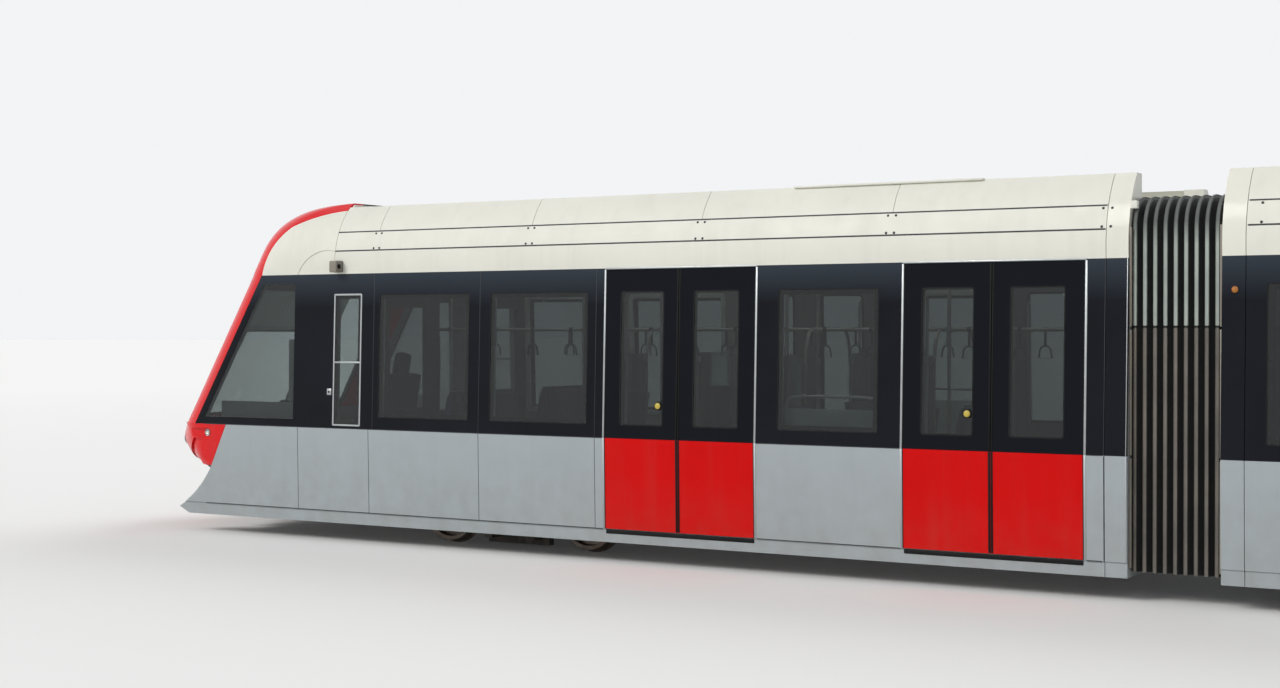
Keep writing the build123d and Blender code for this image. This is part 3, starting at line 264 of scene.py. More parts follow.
def weathered(f, colour, low=0.0, high=1.2, amount=0.35):
    """Paint with faint blotches, rain streaks and road dust that thins out upwards."""
    streaks = f.wander(9.0, 3, 0.0, 0.05, 0.5, 0.75, stretch=(1, 1, 0.06))
    tone = f.shaded(f.mix(streaks, colour, ROAD_DUST), f.wander(1.7, 5, 0.97, 1.02))
    reach = f.ramp(f.z, amount, 0.0, low, high)
    return f.mix(f.times(reach, f.wander(6.0, 6, 0.3, 1.0, 0.35)), tone, ROAD_DUST)


def side_finish():
    """Body side: grey below the belt, black glossy band with a painted sky reflection along its top, cream
    above, pale lining inside.
    """
    f = Finish("side_paint", rough=0.20, Coat_Weight=0.03, Coat_Roughness=0.04, Specular_IOR_Level=0.12)
    band = f.patches(1.3, 4, srgb(10, 13, 20), srgb(20, 24, 33), 0.35, 0.7, 0.6)
    # A painted sky reflection: the band turns blue grey towards its top.
    band = f.mix(f.ramp(f.z, 0.0, 0.9, *BAND_SKY_REFLECTION), band, srgb(50, 58, 67))
    tone = f.above(BELT_Z, weathered(f, srgb(163, 171, 175)), band)
    tone = f.above(BAND_Z, tone, weathered(f, srgb(226, 225, 214), amount=0.0))
    inside = f.times(f.ramp(f.depth(), 0, 1, 0.030, 0.031), f.ramp(f.z, 1, 0, BAND_Z, BAND_Z + 0.001))
    tone = f.mix(inside, tone, f.patches(55.0, 2, srgb(154, 159, 160), srgb(134, 139, 141), 0.4, 0.6, 0.35))
    low, high = LIP_Z
    lip = f.times(f.ramp(f.z, 0, 1, low, low + 0.003), f.ramp(f.z, 1, 0, high - 0.005, high))
    lip = f.times(lip, f.ramp(f.size(f.x), 0, 1, LIP_X - 0.001, LIP_X))
    f.colour(f.mix(lip, tone, srgb(92, 96, 98)))
    sheen = f.ramp(f.z, 0.30, 0.10, BELT_Z - 0.001, BELT_Z + 0.001)
    sheen = f.plus(sheen, f.wander(4.0, 4, -0.02, 0.08, 0.35, 0.75))
    f.rough(f.plus(sheen, f.times(inside, 0.3)))
    f.grain(2.2, 2, 0.10, 0.004)
    return f.material


def door_finish():
    """Door leaves: red below the belt, black band above, grey inside."""
    f = Finish("door_paint", rough=0.2, Coat_Weight=0.02, Coat_Roughness=0.05, Specular_IOR_Level=0.08)
    tone = f.above(BELT_Z, weathered(f, srgb(204, 8, 8), low=0.2, high=0.8, amount=0.12), srgb(14, 17, 24))
    f.colour(f.mix(f.ramp(f.depth(), 0, 1, 0.035, 0.036), tone, srgb(120, 124, 128)))
    f.rough(f.wander(5.0, 5, 0.12, 0.26, 0.3, 0.75))
    f.grain(2.5, 2, 0.08, 0.004)
    return f.material


def gloss_finish(name, colour, rough, coat, **dirt):
    """Sprayed gloss paint with a slight waviness and varied sheen."""
    f = Finish(name, rough=rough, Coat_Weight=coat, Coat_Roughness=0.05, Specular_IOR_Level=0.25)
    f.colour(weathered(f, colour, **dirt))
    f.rough(f.wander(5.0, 5, rough * 0.8, rough * 1.6, 0.3, 0.75))
    f.grain(3.0, 2, 0.06, 0.004)
    return f.material


def matt_finish(name, colour, rough, spread=0.12, grain=140.0, **sockets):
    """Textured plastic, rubber or powder coat with a fine grain and uneven tone."""
    f = Finish(name, rough=rough, **sockets)
    f.colour(f.patches(3.5, 6, scaled(colour, 1 - spread), scaled(colour, 1 + spread)))
    f.rough(f.wander(9.0, 4, rough - 0.08, rough + 0.1))
    f.grain(grain, 2, 0.35, 0.0006)
    return f.material


def metal_finish(name, colour, rough, along=(1, 1, 1)):
    """Bare or brushed metal with fine scratches."""
    f = Finish(name, rough=rough, metal=1.0)
    f.colour(f.patches(6.0, 3, colour, scaled(colour, 0.90), 0.35))
    f.rough(f.wander(60.0, 3, rough * 0.85, rough * 1.3, stretch=along))
    f.grain(180.0, 2, 0.05, 0.0001, stretch=along)
    return f.material


def grimy_finish(name, colour, dust=srgb(104, 92, 78), rough=0.7, metal=0.0):
    """Underfloor gear: paint or casting under brake dust and oil."""
    f = Finish(name, rough=rough, metal=metal)
    tone = f.patches(7.0, 8, colour, dust, 0.38, 0.66, 0.75, rough=0.65)
    f.colour(f.patches(2.4, 4, tone, srgb(24, 22, 20), 0.55, 0.75, 0.6))
    f.rough(f.wander(11.0, 5, rough - 0.25, rough + 0.15))
    f.grain(38.0, 6, 0.3, 0.0015)
    return f.material


def glass_finish(name, tint, shine, border=False):
    """Tinted glazing; the windscreen's has a black painted border."""
    f = Finish(name, rough=0.0, Transmission_Weight=1.0, IOR=1.45, Specular_IOR_Level=shine)
    tone = f.patches(1.1, 3, tint, scaled(tint, 0.93), 0.35)
    if border:
        foot, top = SCREEN_Z
        edge = f.ramp(f.z, SCREEN_EDGE_X, SCREEN_EDGE_X - SCREEN_LEAN * (top - BELT_Z), BELT_Z, top)
        side = f.ramp(f.less(f.size(f.x), edge), 1, 0, 0.050, 0.054)
        ends = f.plus(f.ramp(f.z, 1, 0, foot, foot + 0.004), f.ramp(f.z, 0, 1, top - 0.075, top - 0.025))
        tone = f.mix(f.math("MINIMUM", f.plus(side, ends), 1.0), tone, srgb(14, 16, 18))
    f.colour(tone)
    return f.material


def floor_finish():
    """Speckled hard-wearing floor sheet above, grimy painted frame below and ahead of the cab floor."""
    f = Finish("floor_sheet", rough=0.6)
    sheet = f.patches(320.0, 1, srgb(74, 80, 88), srgb(128, 134, 140), 0.58, 0.64)
    sheet = f.patches(1.8, 6, sheet, srgb(60, 58, 56), 0.4, 0.7, 0.4)
    under = f.patches(7.0, 8, srgb(34, 35, 37), srgb(96, 86, 74), 0.4, 0.66, 0.8)
    top = f.ramp(f.z, 0, 1, FLOOR_Z - 0.0015, FLOOR_Z - 0.0005)
    f.colour(f.mix(f.times(top, f.ramp(f.size(f.x), 1, 0, CAB_FRONT, CAB_FRONT + 0.01)), under, sheet))
    f.grain(90.0, 3, 0.15, 0.0008)
    return f.material


def seat_finish():
    """Woven wool moquette: a small diagonal check in blues with red flecks and fibre noise."""
    f = Finish("seat_moquette", rough=0.9, Sheen_Weight=0.4, Sheen_Roughness=0.5)
    rows = f.wave(f.plus(f.z, f.times(f.x, 0.7)), 130.0)
    check = f.ramp(f.times(rows, f.wave(f.y, 110.0)), 0, 1, -0.15, 0.15)
    tone = f.mix(check, srgb(36, 52, 92), srgb(62, 84, 132))
    tone = f.patches(240.0, 1, tone, srgb(170, 60, 56), 0.62, 0.66, 0.7)
    f.colour(f.patches(2.0, 5, tone, srgb(30, 34, 46), 0.4, 0.7, 0.35))
    f.grain(700.0, 2, 0.5, 0.0008)
    return f.material


def lamp_finish(name, colour, strength, clear=0.5, ripple=0.3):
    """A lens or bulb: moulded plastic or glass, clear or lit from within."""
    f = Finish(name, rough=0.04, Transmission_Weight=clear, IOR=1.46)
    f.colour(f.shaded(colour, f.wander(60.0, 2, 1.0 - ripple, 1.0)))
    f.shader.inputs["Emission Color"].default_value = colour
    f.shader.inputs["Emission Strength"].default_value = strength
    f.grain(90.0, 1, ripple, 0.001)
    return f.material


def cloth_finish():
    """Thin pale blind cloth that lets some light through."""
    f = Finish("blind_cloth", rough=0.55, Transmission_Weight=0.55, IOR=1.1)
    weave = f.times(f.wave(f.y, 900.0), f.wave(f.z, 900.0))
    tone = f.mix(f.ramp(weave, 0, 1, -0.4, 0.4), srgb(206, 214, 208), srgb(186, 196, 190))
    f.colour(f.patches(2.0, 4, tone, srgb(168, 172, 164), 0.4, 0.7, 0.3))
    f.bump(weave, 0.2, 0.0004)
    return f.material


def bellows_finish():
    """Coated cloth: darker grey shoulders, pale green grey upper sides, brown grey below the joint."""
    f = Finish("bellows_cloth", rough=0.7)
    low = f.patches(3.0, 5, srgb(104, 99, 91), srgb(80, 77, 73))
    high = f.patches(3.0, 5, srgb(166, 175, 167), srgb(142, 150, 145))
    tone = f.mix(f.ramp(f.z, 0, 1, FOLD_BREAK - 0.004, FOLD_BREAK), low, high)
    tone = f.mix(f.ramp(f.z, 0, 1, *FOLD_SHOULDER), tone, srgb(88, 92, 90))
    seam = f.ramp(f.size(f.less(f.z, FOLD_BREAK)), 1, 0, 0.006, 0.012)
    f.colour(f.mix(seam, tone, srgb(26, 27, 27)))
    f.rough(f.wander(9.0, 4, 0.60, 0.85))
    f.grain(420.0, 2, 0.35, 0.0006)
    return f.material


def base_finish():
    """The pantograph's base: red frame above, brown glazed insulators under it."""
    f = Finish("panto_base_paint", rough=0.4)
    above = f.ramp(f.z, 0, 1, INSULATOR_Z, INSULATOR_Z + 0.0005)
    glaze = f.patches(8.0, 4, srgb(92, 50, 36), srgb(62, 34, 27))
    paint = f.patches(3.5, 6, srgb(138, 42, 33), srgb(160, 52, 42))
    f.colour(f.mix(above, glaze, paint))
    f.rough(f.plus(f.ramp(above, 0.16, 0.44), f.wander(9.0, 4, 0.0, 0.12)))
    f.grain(140.0, 2, 0.2, 0.0004)
    return f.material


finish = {
    "side": side_finish(),
    "door": door_finish(),
    "cream": gloss_finish("cream_paint", srgb(222, 222, 212), 0.42, 0.0, amount=0.0),
    "red": gloss_finish("red_paint", srgb(214, 10, 18), 0.20, 0.10, low=0.3, high=1.0, amount=0.08),
    "hood": gloss_finish("hood_black", srgb(34, 38, 46), 0.16, 0.30, amount=0.0),
    "trim": metal_finish("door_trim", srgb(170, 174, 175), 0.42, along=(1, 1, 0.05)),
    "steel": metal_finish("pole_steel", srgb(205, 205, 200), 0.38),
    "chrome": metal_finish("reflector", srgb(222, 224, 226), 0.10),
    "glass": glass_finish("side_glass", srgb(124, 132, 132), 0.09),
    "screen": glass_finish("screen_glass", srgb(236, 245, 243), 0.30, border=True),
    "pane": glass_finish("draught_glass", srgb(206, 226, 218), 0.25),
    "floor": floor_finish(),
    "seat": seat_finish(),
    "bogie": grimy_finish("bogie_paint", srgb(46, 48, 50)),
    "wheel": grimy_finish("wheel_steel", srgb(120, 112, 104), dust=srgb(92, 70, 52), rough=0.5, metal=0.7),
    "cast": grimy_finish("cast_black", srgb(30, 30, 32), rough=0.55),
    "panto_base": base_finish(),
    "bellows": bellows_finish(),
    "blind_cloth": cloth_finish(),
    "lamp": lamp_finish("headlamp_lens", srgb(240, 244, 246), 0.0, clear=1.0, ripple=0.08),
    "amber": lamp_finish("marker_amber", srgb(226, 142, 62), 0.08),
    "bulb": lamp_finish("lamp_bulb", srgb(255, 214, 160), 0.6),
    "light": lamp_finish("light_diffuser", (1.0, 0.97, 0.9, 1.0), 2.2),
    "black": matt_finish("black_rubber", srgb(14, 15, 17), 0.6, Specular_IOR_Level=0.2),
    "frit": matt_finish("glass_edge", srgb(8, 9, 12), 0.3, Specular_IOR_Level=0.15),
    "case": matt_finish("equipment_paint", srgb(176, 180, 180), 0.45, spread=0.05),
    "webbing": matt_finish("strap_webbing", srgb(26, 28, 34), 0.85, grain=420.0),
    "cab": matt_finish("cab_plastic", srgb(58, 60, 64), 0.6),
    "panto": matt_finish("panto_paint", srgb(150, 46, 36), 0.5),
    "carbon": matt_finish("contact_carbon", srgb(34, 34, 36), 0.4),
    "fold_groove": matt_finish("bellows_groove", srgb(22, 23, 24), 0.85),
    "bellows_lining": matt_finish("bellows_lining", srgb(120, 124, 126), 0.8),
    "joint": matt_finish("joint_sealant", srgb(40, 42, 44), 0.6),
    "post": matt_finish("post_paint", srgb(130, 124, 114), 0.45),
    "lining": matt_finish("inner_lining", srgb(216, 228, 220), 0.4),
    "button": matt_finish("button_yellow", srgb(196, 176, 70), 0.35),
    "panel": matt_finish("panel_laminate", srgb(196, 216, 206), 0.35),
    "display": matt_finish("display_glass", srgb(16, 22, 28), 0.12),
    "blind": matt_finish("cab_lining", srgb(202, 208, 204), 0.55),
    "cable": matt_finish("cable_sheath", srgb(30, 30, 32), 0.5),
    "grip": matt_finish("strap_grip", srgb(60, 64, 70), 0.4),
}

node_finish = {
    "shell": "side", "floor": "floor", "roof": "cream", "fairings": "cream", "mask": "red", "hood": "hood",
    "windscreen": "screen", "glass": "glass", "doors": "door", "seats": "seat", "poles": "steel",
    "cab": "cab", "roof_gear": "case", "coupler": "cast", "lamps": "lamp", "bellows": "bellows",
    "bogie": "bogie", "wheelset": "wheel", "panto": "panto", "panto_frame": "panto_base",
    "panto_head": "carbon",
}


def dress_nodes():
    """Gives every node of the frame its finish, by the longest part of its name that is listed."""
    for name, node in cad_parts.items():
        keys = [key for key in node_finish if name.startswith(key) or name.endswith("_" + key)]
        node.data.materials.clear()
        node.data.materials.append(finish[node_finish[max(keys, key=len)]])


dress_nodes()


# Modelling tools

FLIP_Y = Matrix.Scale(-1, 4, (0, 1, 0))
FLIP_X = Matrix.Scale(-1, 4, (1, 0, 0))
HALF_TURN = Matrix.Rotation(math.pi, 4, "Z")
QUARTER = math.radians(90)
AHEAD, BACK, OUTWARDS = (1, 0, 0), (-1, 0, 0), (0, 1, 0)


def only(*pieces):
    """Selects these pieces alone, the first one active."""
    bpy.ops.object.select_all(action="DESELECT")
    for piece in pieces:
        piece.select_set(True)
    bpy.context.view_layer.objects.active = pieces[0]


def settle(colour, scale=(1, 1, 1)):
    """Stretches the piece just added, gives it its finish and moves its place into its mesh."""
    piece = bpy.context.object
    piece.scale = [a * b for a, b in zip(piece.scale, scale)]
    bpy.ops.object.transform_apply(location=True, rotation=True, scale=True)
    piece.data.materials.clear()
    piece.data.materials.append(finish[colour])
    return piece


def open_mesh(piece, kind="FACE", test=None):
    """Opens a piece for editing, with the corners, edges or faces selected that pass a test, or all."""
    only(piece)
    bpy.ops.object.mode_set(mode="EDIT")
    bpy.ops.mesh.select_mode(type=kind)
    bpy.ops.mesh.select_all(action="DESELECT" if test else "SELECT")
    if test:
        mesh = bmesh.from_edit_mesh(piece.data)
        items = {"VERT": mesh.verts, "EDGE": mesh.edges, "FACE": mesh.faces}[kind]
        for item in items:
            if test(item):
                item.select_set(True)
        mesh.select_flush_mode()
        bmesh.update_edit_mesh(piece.data)


def draw_out(way):
    """Extrudes what is selected by a step."""
    bpy.ops.mesh.extrude_region_move(TRANSFORM_OT_translate={"value": way})


def close_mesh(outwards=False):
    if outwards:
        bpy.ops.mesh.select_all(action="SELECT")
        bpy.ops.mesh.normals_make_consistent(inside=False)
    bpy.ops.object.mode_set(mode="OBJECT")


def smooth(piece, angle=40):
    only(piece)
    bpy.ops.object.shade_smooth_by_angle(angle=math.radians(angle))
    return piece


def finish_with(piece, kind, **settings):
    """Adds a modifier and applies it."""
    only(piece)
    made = piece.modifiers.new(kind.title(), kind)
    for key, value in settings.items():
        setattr(made, key, value)
    bpy.ops.object.modifier_apply(modifier=made.name)
    return piece


def discard(*pieces):
    for piece in pieces:
        bpy.data.objects.remove(piece)


def moved(x=0.0, y=0.0, z=0.0):
    return Matrix.Translation((x, y, z))


def put(piece, *matrices):
    """Sets a piece elsewhere, by one matrix after another, and gives it back."""
    for matrix in matrices:
        piece.data.transform(matrix)
    return piece


def twin(piece, matrix):
    """A copy with its own mesh, set elsewhere by a matrix; a mirrored one has its faces turned outwards."""
    made = put(bpy.data.objects.new(piece.name, piece.data.copy()), matrix)
    if matrix.determinant() < 0:
        made.data.flip_normals()
    bpy.context.scene.collection.objects.link(made)
    return made


def mirrored(pieces, flip=FLIP_Y):
    """The pieces and their mirrored copies."""
    return pieces + [twin(piece, flip) for piece in pieces]


def quartered(pieces):
    """The pieces on both sides and at both ends of the centre section."""
    return mirrored(mirrored(pieces), FLIP_X)


def joined(name, pieces):
    """Joins pieces into one, named anew."""
    only(*pieces)
    if len(pieces) > 1:
        bpy.ops.object.join()
    pieces[0].name = pieces[0].data.name = name
    return pieces[0]


def bar(colour, low, high, bevel=0.004, segments=2, turn=(0, 0, 0)):
    """A squared piece between two corners with rounded edges; turn leans it about its middle."""
    middle = [(a + b) / 2 for a, b in zip(low, high)]
    size = [b - a for a, b in zip(low, high)]
    bpy.ops.object.select_all(action="DESELECT")
    bpy.ops.mesh.primitive_cube_add(size=1, location=middle, rotation=turn, scale=size)
    piece = settle(colour)
    open_mesh(piece, "EDGE")
    bpy.ops.mesh.bevel(offset=min(bevel, min(size) * 0.45), segments=segments, affect="EDGES")
    close_mesh()
    return smooth(piece)


def lathe(colour, profile, at=(0, 0, 0), axis=(0, 0, 1), steps=32):
    """A turned piece: a disc drawn out along its axis through rings of (distance, radius)."""
    start, radius = profile[0]
    bpy.ops.object.select_all(action="DESELECT")
    bpy.ops.mesh.primitive_circle_add(vertices=steps, radius=radius, fill_type="NGON", location=(0, 0, start))
    piece = settle(colour)
    open_mesh(piece, "FACE")
    for distance, size in profile[1:]:
        draw_out((0, 0, distance - start))
        bpy.ops.transform.resize(value=(size / radius, size / radius, 1))
        start, radius = distance, size
    close_mesh(outwards=True)
    turn = Vector(axis).to_track_quat("Z", "Y").to_matrix().to_4x4()
    return smooth(put(piece, Matrix.Translation(at) @ turn))


def plate_ring(colour, width, height, border, depth, corner, bevel=0.0):
    """A flat frame in the XZ plane, centred, reaching from y = 0 back to -depth, its corners rounded."""
    bpy.ops.object.select_all(action="DESELECT")
    bpy.ops.mesh.primitive_plane_add(size=1, rotation=(QUARTER, 0, 0))
    piece = settle(colour, (width, height, 1))
    open_mesh(piece, "VERT")
    bpy.ops.mesh.bevel(offset=corner, segments=6, affect="VERTICES")
    close_mesh()
    open_mesh(piece, "FACE")
    bpy.ops.mesh.inset(thickness=border, depth=0)
    bpy.ops.mesh.delete(type="FACE")
    bpy.ops.mesh.select_all(action="SELECT")
    draw_out((0, -depth, 0))
    close_mesh(outwards=True)
    if bevel:
        sharp = math.radians(50)
        finish_with(piece, "BEVEL", width=bevel, segments=2, limit_method="ANGLE", angle_limit=sharp)
    return smooth(piece)


def pipe(colour, points, radius, order=3, sides=3):
    """A round tube along a smooth line through space, or along straight legs with order 2."""
    curve = bpy.data.curves.new("pipe", "CURVE")
    curve.dimensions = "3D"
    curve.bevel_depth = radius
    curve.bevel_resolution = sides
    curve.resolution_u = 6
    curve.use_fill_caps = True
    line = curve.splines.new("NURBS" if order > 2 else "POLY")
    line.points.add(len(points) - 1)
    for spot, place in zip(line.points, points):
        spot.co = (*place, 1)
    if order > 2:
        line.order_u = order
        line.use_endpoint_u = True
    piece = bpy.data.objects.new("pipe", curve)
    bpy.context.scene.collection.objects.link(piece)
    only(piece)
    bpy.ops.object.convert(target="MESH")
    piece = bpy.context.object
    piece.data.materials.clear()
    piece.data.materials.append(finish[colour])
    return smooth(piece, 60)


def skin(z):
    """Half width of the body at a height."""
    if z < SKIRT_Z:
        return SKIRT_Y - 0.012
    if z <= BELT_Z:
        return SKIRT_Y + (BELT_Y - SKIRT_Y) * (z - SKIRT_Z) / (BELT_Z - SKIRT_Z)
    if z <= BAND_Z:
        return BELT_Y + (BAND_Y - BELT_Y) * (z - BELT_Z) / (BAND_Z - BELT_Z)
    return COVER_Y + math.sqrt(COVER_R**2 - (z - COVER_AT) ** 2)


def lean(z):
    """How far the body side leans at a height, as a turn about X on the +Y side."""
    if z <= SKIRT_Z:
        return 0.0
    if z <= BELT_Z:
        return -math.atan((BELT_Y - SKIRT_Y) / (BELT_Z - SKIRT_Z))
    if z <= BAND_Z:
        return math.atan((BELT_Y - BAND_Y) / (BAND_Z - BELT_Z))
    return math.asin((z - COVER_AT) / COVER_R)


def on_side(x, z, proud=0.0):
    """Sets a piece that was modelled about the origin, y outwards, against the +Y body side."""
    return moved(x, skin(z) + proud, z) @ Matrix.Rotation(lean(z), 4, "X")


def strip(colour, x, width, z0, z1, proud, thick, bevel=0.002):
    """An upright strip on the +Y body side; one that crosses the belt is made in two."""
    made = []
    for a, b in ((z0, min(z1, BELT_Z)), (max(z0, BELT_Z), z1)):
        if b - a > 0.001:
            face = skin((a + b) / 2) + proud
            low, high = (x - width / 2, face - thick, a), (x + width / 2, face, b)
            made.append(bar(colour, low, high, bevel, turn=(lean((a + b) / 2), 0, 0)))
    return made


def ride_on(body, name, pieces, slot=None):
    """Joins pieces into one that rides a body."""
    piece = joined(name, pieces)
    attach(piece, body)
    return piece


def ride_ends(name, pieces, slot=None):
    """Joins pieces of the +X end section into one, and turns a copy of it round for the other end."""
    near = ride_on("car_b", "car_b_" + name, pieces, slot)
    far = ride_on("car_a", "car_a_" + name, [twin(near, HALF_TURN)], slot)
    return near, far


def ride_centre(name, pieces, slot=None):
    return ride_on("car_c", "car_c_" + name, pieces, slot)


def touch(node, start, way):
    """Where a straight line first meets a CAD node, and the way the surface faces there."""
    found, place, normal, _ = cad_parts[node].ray_cast(Vector(start), Vector(way).normalized())
    if not found:
        raise ValueError(f"no surface of {node} along that line")
    return place, normal


def on_screen(y, z):
    """The outer face of the windscreen at a place across and up, and the way it faces."""
    return touch("car_b_windscreen", (AHEAD_X, y, z), BACK)


# Doors: edge strips, meeting seals, sills, grab tubes, glass rims and buttons

SILL_RIBS, SILL_PITCH = 9, 0.032
GRAB_TUBE = (
    (1.160, 0.0), (1.175, 0.045), (1.250, 0.050), (1.750, 0.050),
    (2.260, 0.050), (2.335, 0.045), (2.350, 0.0),
)
BUTTON_RING = ((-0.004, 0.038), (0.006, 0.038), (0.011, 0.034), (0.012, 0.029))
BUTTON_CAP = ((0.000, 0.027), (0.013, 0.027), (0.016, 0.024), (0.018, 0.012))


def door_edges():
    """The bright outer strips and black seals of a doorway, and the black lips where its leaves meet."""
    bright, dark = [], []
    for x, out in ((0, -1), (DOOR_WIDTH, 1)):
        bright += strip("trim", x + out * 0.016, 0.018, DOOR_FOOT, DOOR_TOP, 0.0035, 0.012)
        dark += strip("black", x + out * 0.002, 0.008, DOOR_FOOT, DOOR_TOP, 0.0020, 0.012)
    for out in (-1, 1):
        x = DOOR_WIDTH / 2 + out * 0.0095
        dark += strip("black", x, 0.014, DOOR_FOOT, DOOR_TOP, 0.0060, 0.014, 0.005)
        dark += strip("black", x + out * 0.0100, 0.0045, DOOR_FOOT, DOOR_TOP, 0.0015, 0.006)
    return bright, dark


def sill():
    """The strip over a doorway, the black edge under it and the ribbed sill plate inside."""
    top, foot = skin(BAND_Z), skin(0)
    low, high = (-0.02, top - 0.010, BAND_Z - 0.010), (DOOR_WIDTH + 0.02, top + 0.010, BAND_Z + 0.004)
    bright = [bar("trim", low, high)]
    dark = [bar("black", (0, foot - 0.050, 0.262), (DOOR_WIDTH, foot + 0.006, 0.302), 0.006)]
    low, high = (0.02, foot - 0.36, FLOOR_Z + 0.0005), (DOOR_WIDTH - 0.02, foot - 0.056, FLOOR_Z + 0.005)
    bright.append(bar("trim", low, high, 0.002))
    for n in range(SILL_RIBS):
        y = foot - 0.33 + n * SILL_PITCH
        low, high = (0.04, y, FLOOR_Z + 0.004), (DOOR_WIDTH - 0.04, y + 0.012, FLOOR_Z + 0.0085)
        bright.append(bar("trim", low, high, 0.0015, 1))
    return bright, dark


def leaf_glass(x, tube_x):
    """The rubber rims round a leaf's glass, outside and inside, and the grab tube across the inner one."""
    high, middle = GLASS_Z[1] - GLASS_Z[0], sum(GLASS_Z) / 2
    outer = plate_ring("black", LEAF_GLASS + 0.012, high + 0.012, 0.011, 0.006, 0.03)
    inner = plate_ring("black", LEAF_GLASS + 0.030, high + 0.030, 0.024, 0.010, 0.05, 0.003)
    rims = [put(outer, on_side(x, middle, 0.0014)), put(inner, on_side(x, middle, -0.041))]
    line = [(tube_x, skin(z) - 0.042 - reach, z) for z, reach in GRAB_TUBE]
    return rims, pipe("steel", line, 0.0135)


def doorway():
    """What lies round one doorway that starts at x = 0, as lists of pieces by name."""
    bright, dark = [edges + sills for edges, sills in zip(door_edges(), sill())]
    tubes = []
    for out in (-1, 1):
        x = DOOR_WIDTH / 2 * (1 + out / 2)
        rims, tube = leaf_glass(x, x + out * (LEAF_GLASS / 2 - 0.012))
        dark += rims
        tubes.append(tube)
    place = on_side(DOOR_WIDTH / 2 + BUTTON_ASIDE, BUTTON_Z, -0.001)
    ring = put(lathe("black", BUTTON_RING, axis=OUTWARDS), place)
    cap = put(lathe("button", BUTTON_CAP, axis=OUTWARDS), place)
    return {"door_trim": bright, "door_seals": dark + [ring], "door_tubes": tubes, "door_buttons": [cap]}


def doors():
    for name, group in doorway().items():
        proto = joined("doorway", group)
        ride_ends(name, mirrored([twin(proto, moved(END_X + u)) for u in END_DOORS]))
        side = [twin(proto, moved(x)) for x in CENTRE_DOORS]
        ride_centre(name, side + [twin(piece, HALF_TURN) for piece in side])
        discard(proto)


# Windows: rubber, painted glass edge and the inner frames


def window(x0, x1, z0, z1):
    """What lies round one side window, as lists of pieces by name."""
    wide, high = x1 - x0, z1 - z0
    x, z = (x0 + x1) / 2, (z0 + z1) / 2
    border = min(0.040, wide * 0.12)
    rubber = plate_ring("black", wide + 0.012, high + 0.012, 0.009, 0.006, 0.02)
    edge = plate_ring("frit", wide - 0.002, high - 0.002, border, 0.0012, 0.04)
    lining = plate_ring("lining", wide + 0.075, high + 0.075, 0.050, 0.026, 0.05, 0.006)
    return {
        "window_rubber": [put(rubber, on_side(x, z, 0.0008))],
        "window_edges": [put(edge, on_side(x, z, -0.0142))],
        "window_linings": [put(lining, on_side(x, z, -WALL + 0.004))],
    }


def gathered(groups):
    """Adds up several sets of pieces by name."""
    total = {}
    for group in groups:
        for name, pieces in group.items():
            total.setdefault(name, []).extend(pieces)
    return total


def windows():
    end = [window(END_X + a, END_X + b, *GLASS_Z) for a, b in END_WINDOWS]
    end.append(window(END_X + CAB_SLIT[0], END_X + CAB_SLIT[1], *CAB_SLIT_Z))
    for name, pieces in gathered(end).items():
        ride_ends(name, mirrored([joined(name, pieces)]))
    for name, pieces in gathered(window(a, b, *GLASS_Z) for a, b in CENTRE_WINDOWS).items():
        ride_centre(name, mirrored([joined(name, pieces)]))


# Panel joints, end edges, gangway posts and markers

MARKER_LENS = ((-0.002, 0.024), (0.005, 0.024), (0.010, 0.019), (0.012, 0.008))
MARKER_RIM = ((-0.002, 0.031), (0.003, 0.031), (0.005, 0.027))


def beads(panel_places, band_places):
    """Upright sealing beads between the side panels, below the belt and across the band."""
    made = []
    for x in panel_places:
        made += strip("joint", x, 0.0055, SKIRT_Z, BELT_Z - 0.004, 0.0012, 0.006, 0.001)
    for x in band_places:
        made += strip("joint", x, 0.0050, BELT_Z, BAND_Z, 0.0012, 0.006, 0.001)
    return made


def side_joints():
    """The upright beads, and those along the skirt's lower edge and the belt, which stop at the doors."""
    made = beads([END_X + u for u in PANEL_JOINTS], [END_X + u for u in BAND_JOINTS])
    stops = [SIDE_START]
    for u in END_DOORS:
        stops += [u - 0.03, u + DOOR_WIDTH + 0.03]
    stops.append(SIDE_STOP)
    for a, b in zip(stops[::2], stops[1::2]):
        for y0, y1, z0, z1 in (
            (SKIRT_Y - 0.013, SKIRT_Y + 0.0015, SKIRT_Z - 0.004, SKIRT_Z + 0.003),
            (BELT_Y - 0.010, BELT_Y + 0.0012, BELT_Z - 0.0035, BELT_Z + 0.0035),
        ):
            made.append(bar("joint", (END_X + a, y0, z0), (END_X + b, y1, z1), 0.001, 1))
    ride_ends("side_joints", mirrored(made), "body_paint")
    ride_centre("side_joints", quartered(beads(CENTRE_JOINTS, CENTRE_JOINTS)), "body_paint")


def gangway_posts(x0, x1):
    return [bar("post", (x0, 1.243, z0), (x1, 1.268, z1), 0.006) for z0, z1 in POST_Z]


def end_strips():
    """Bright rounded edges of the end sections, the gangway's posts, and the markers beside it."""
    ride_ends("end_edges", mirrored(strip("trim", END_X + 0.006, 0.007, SKIRT_Z, BAND_Z, 0.0015, 0.012)))
    ride_ends("gangway_posts", mirrored(gangway_posts(END_X - 0.020, END_X - 0.0005)))
    ride_centre("gangway_posts", quartered(gangway_posts(CENTRE_END + 0.0005, CENTRE_END + 0.020)))
    lens = lathe("amber", MARKER_LENS, axis=OUTWARDS, steps=24)
    rim = lathe("black", MARKER_RIM, axis=OUTWARDS, steps=24)
    ride_centre("markers", quartered([put(piece, on_side(MARKER_X, MARKER_Z)) for piece in (lens, rim)]))


# Gangway bellows


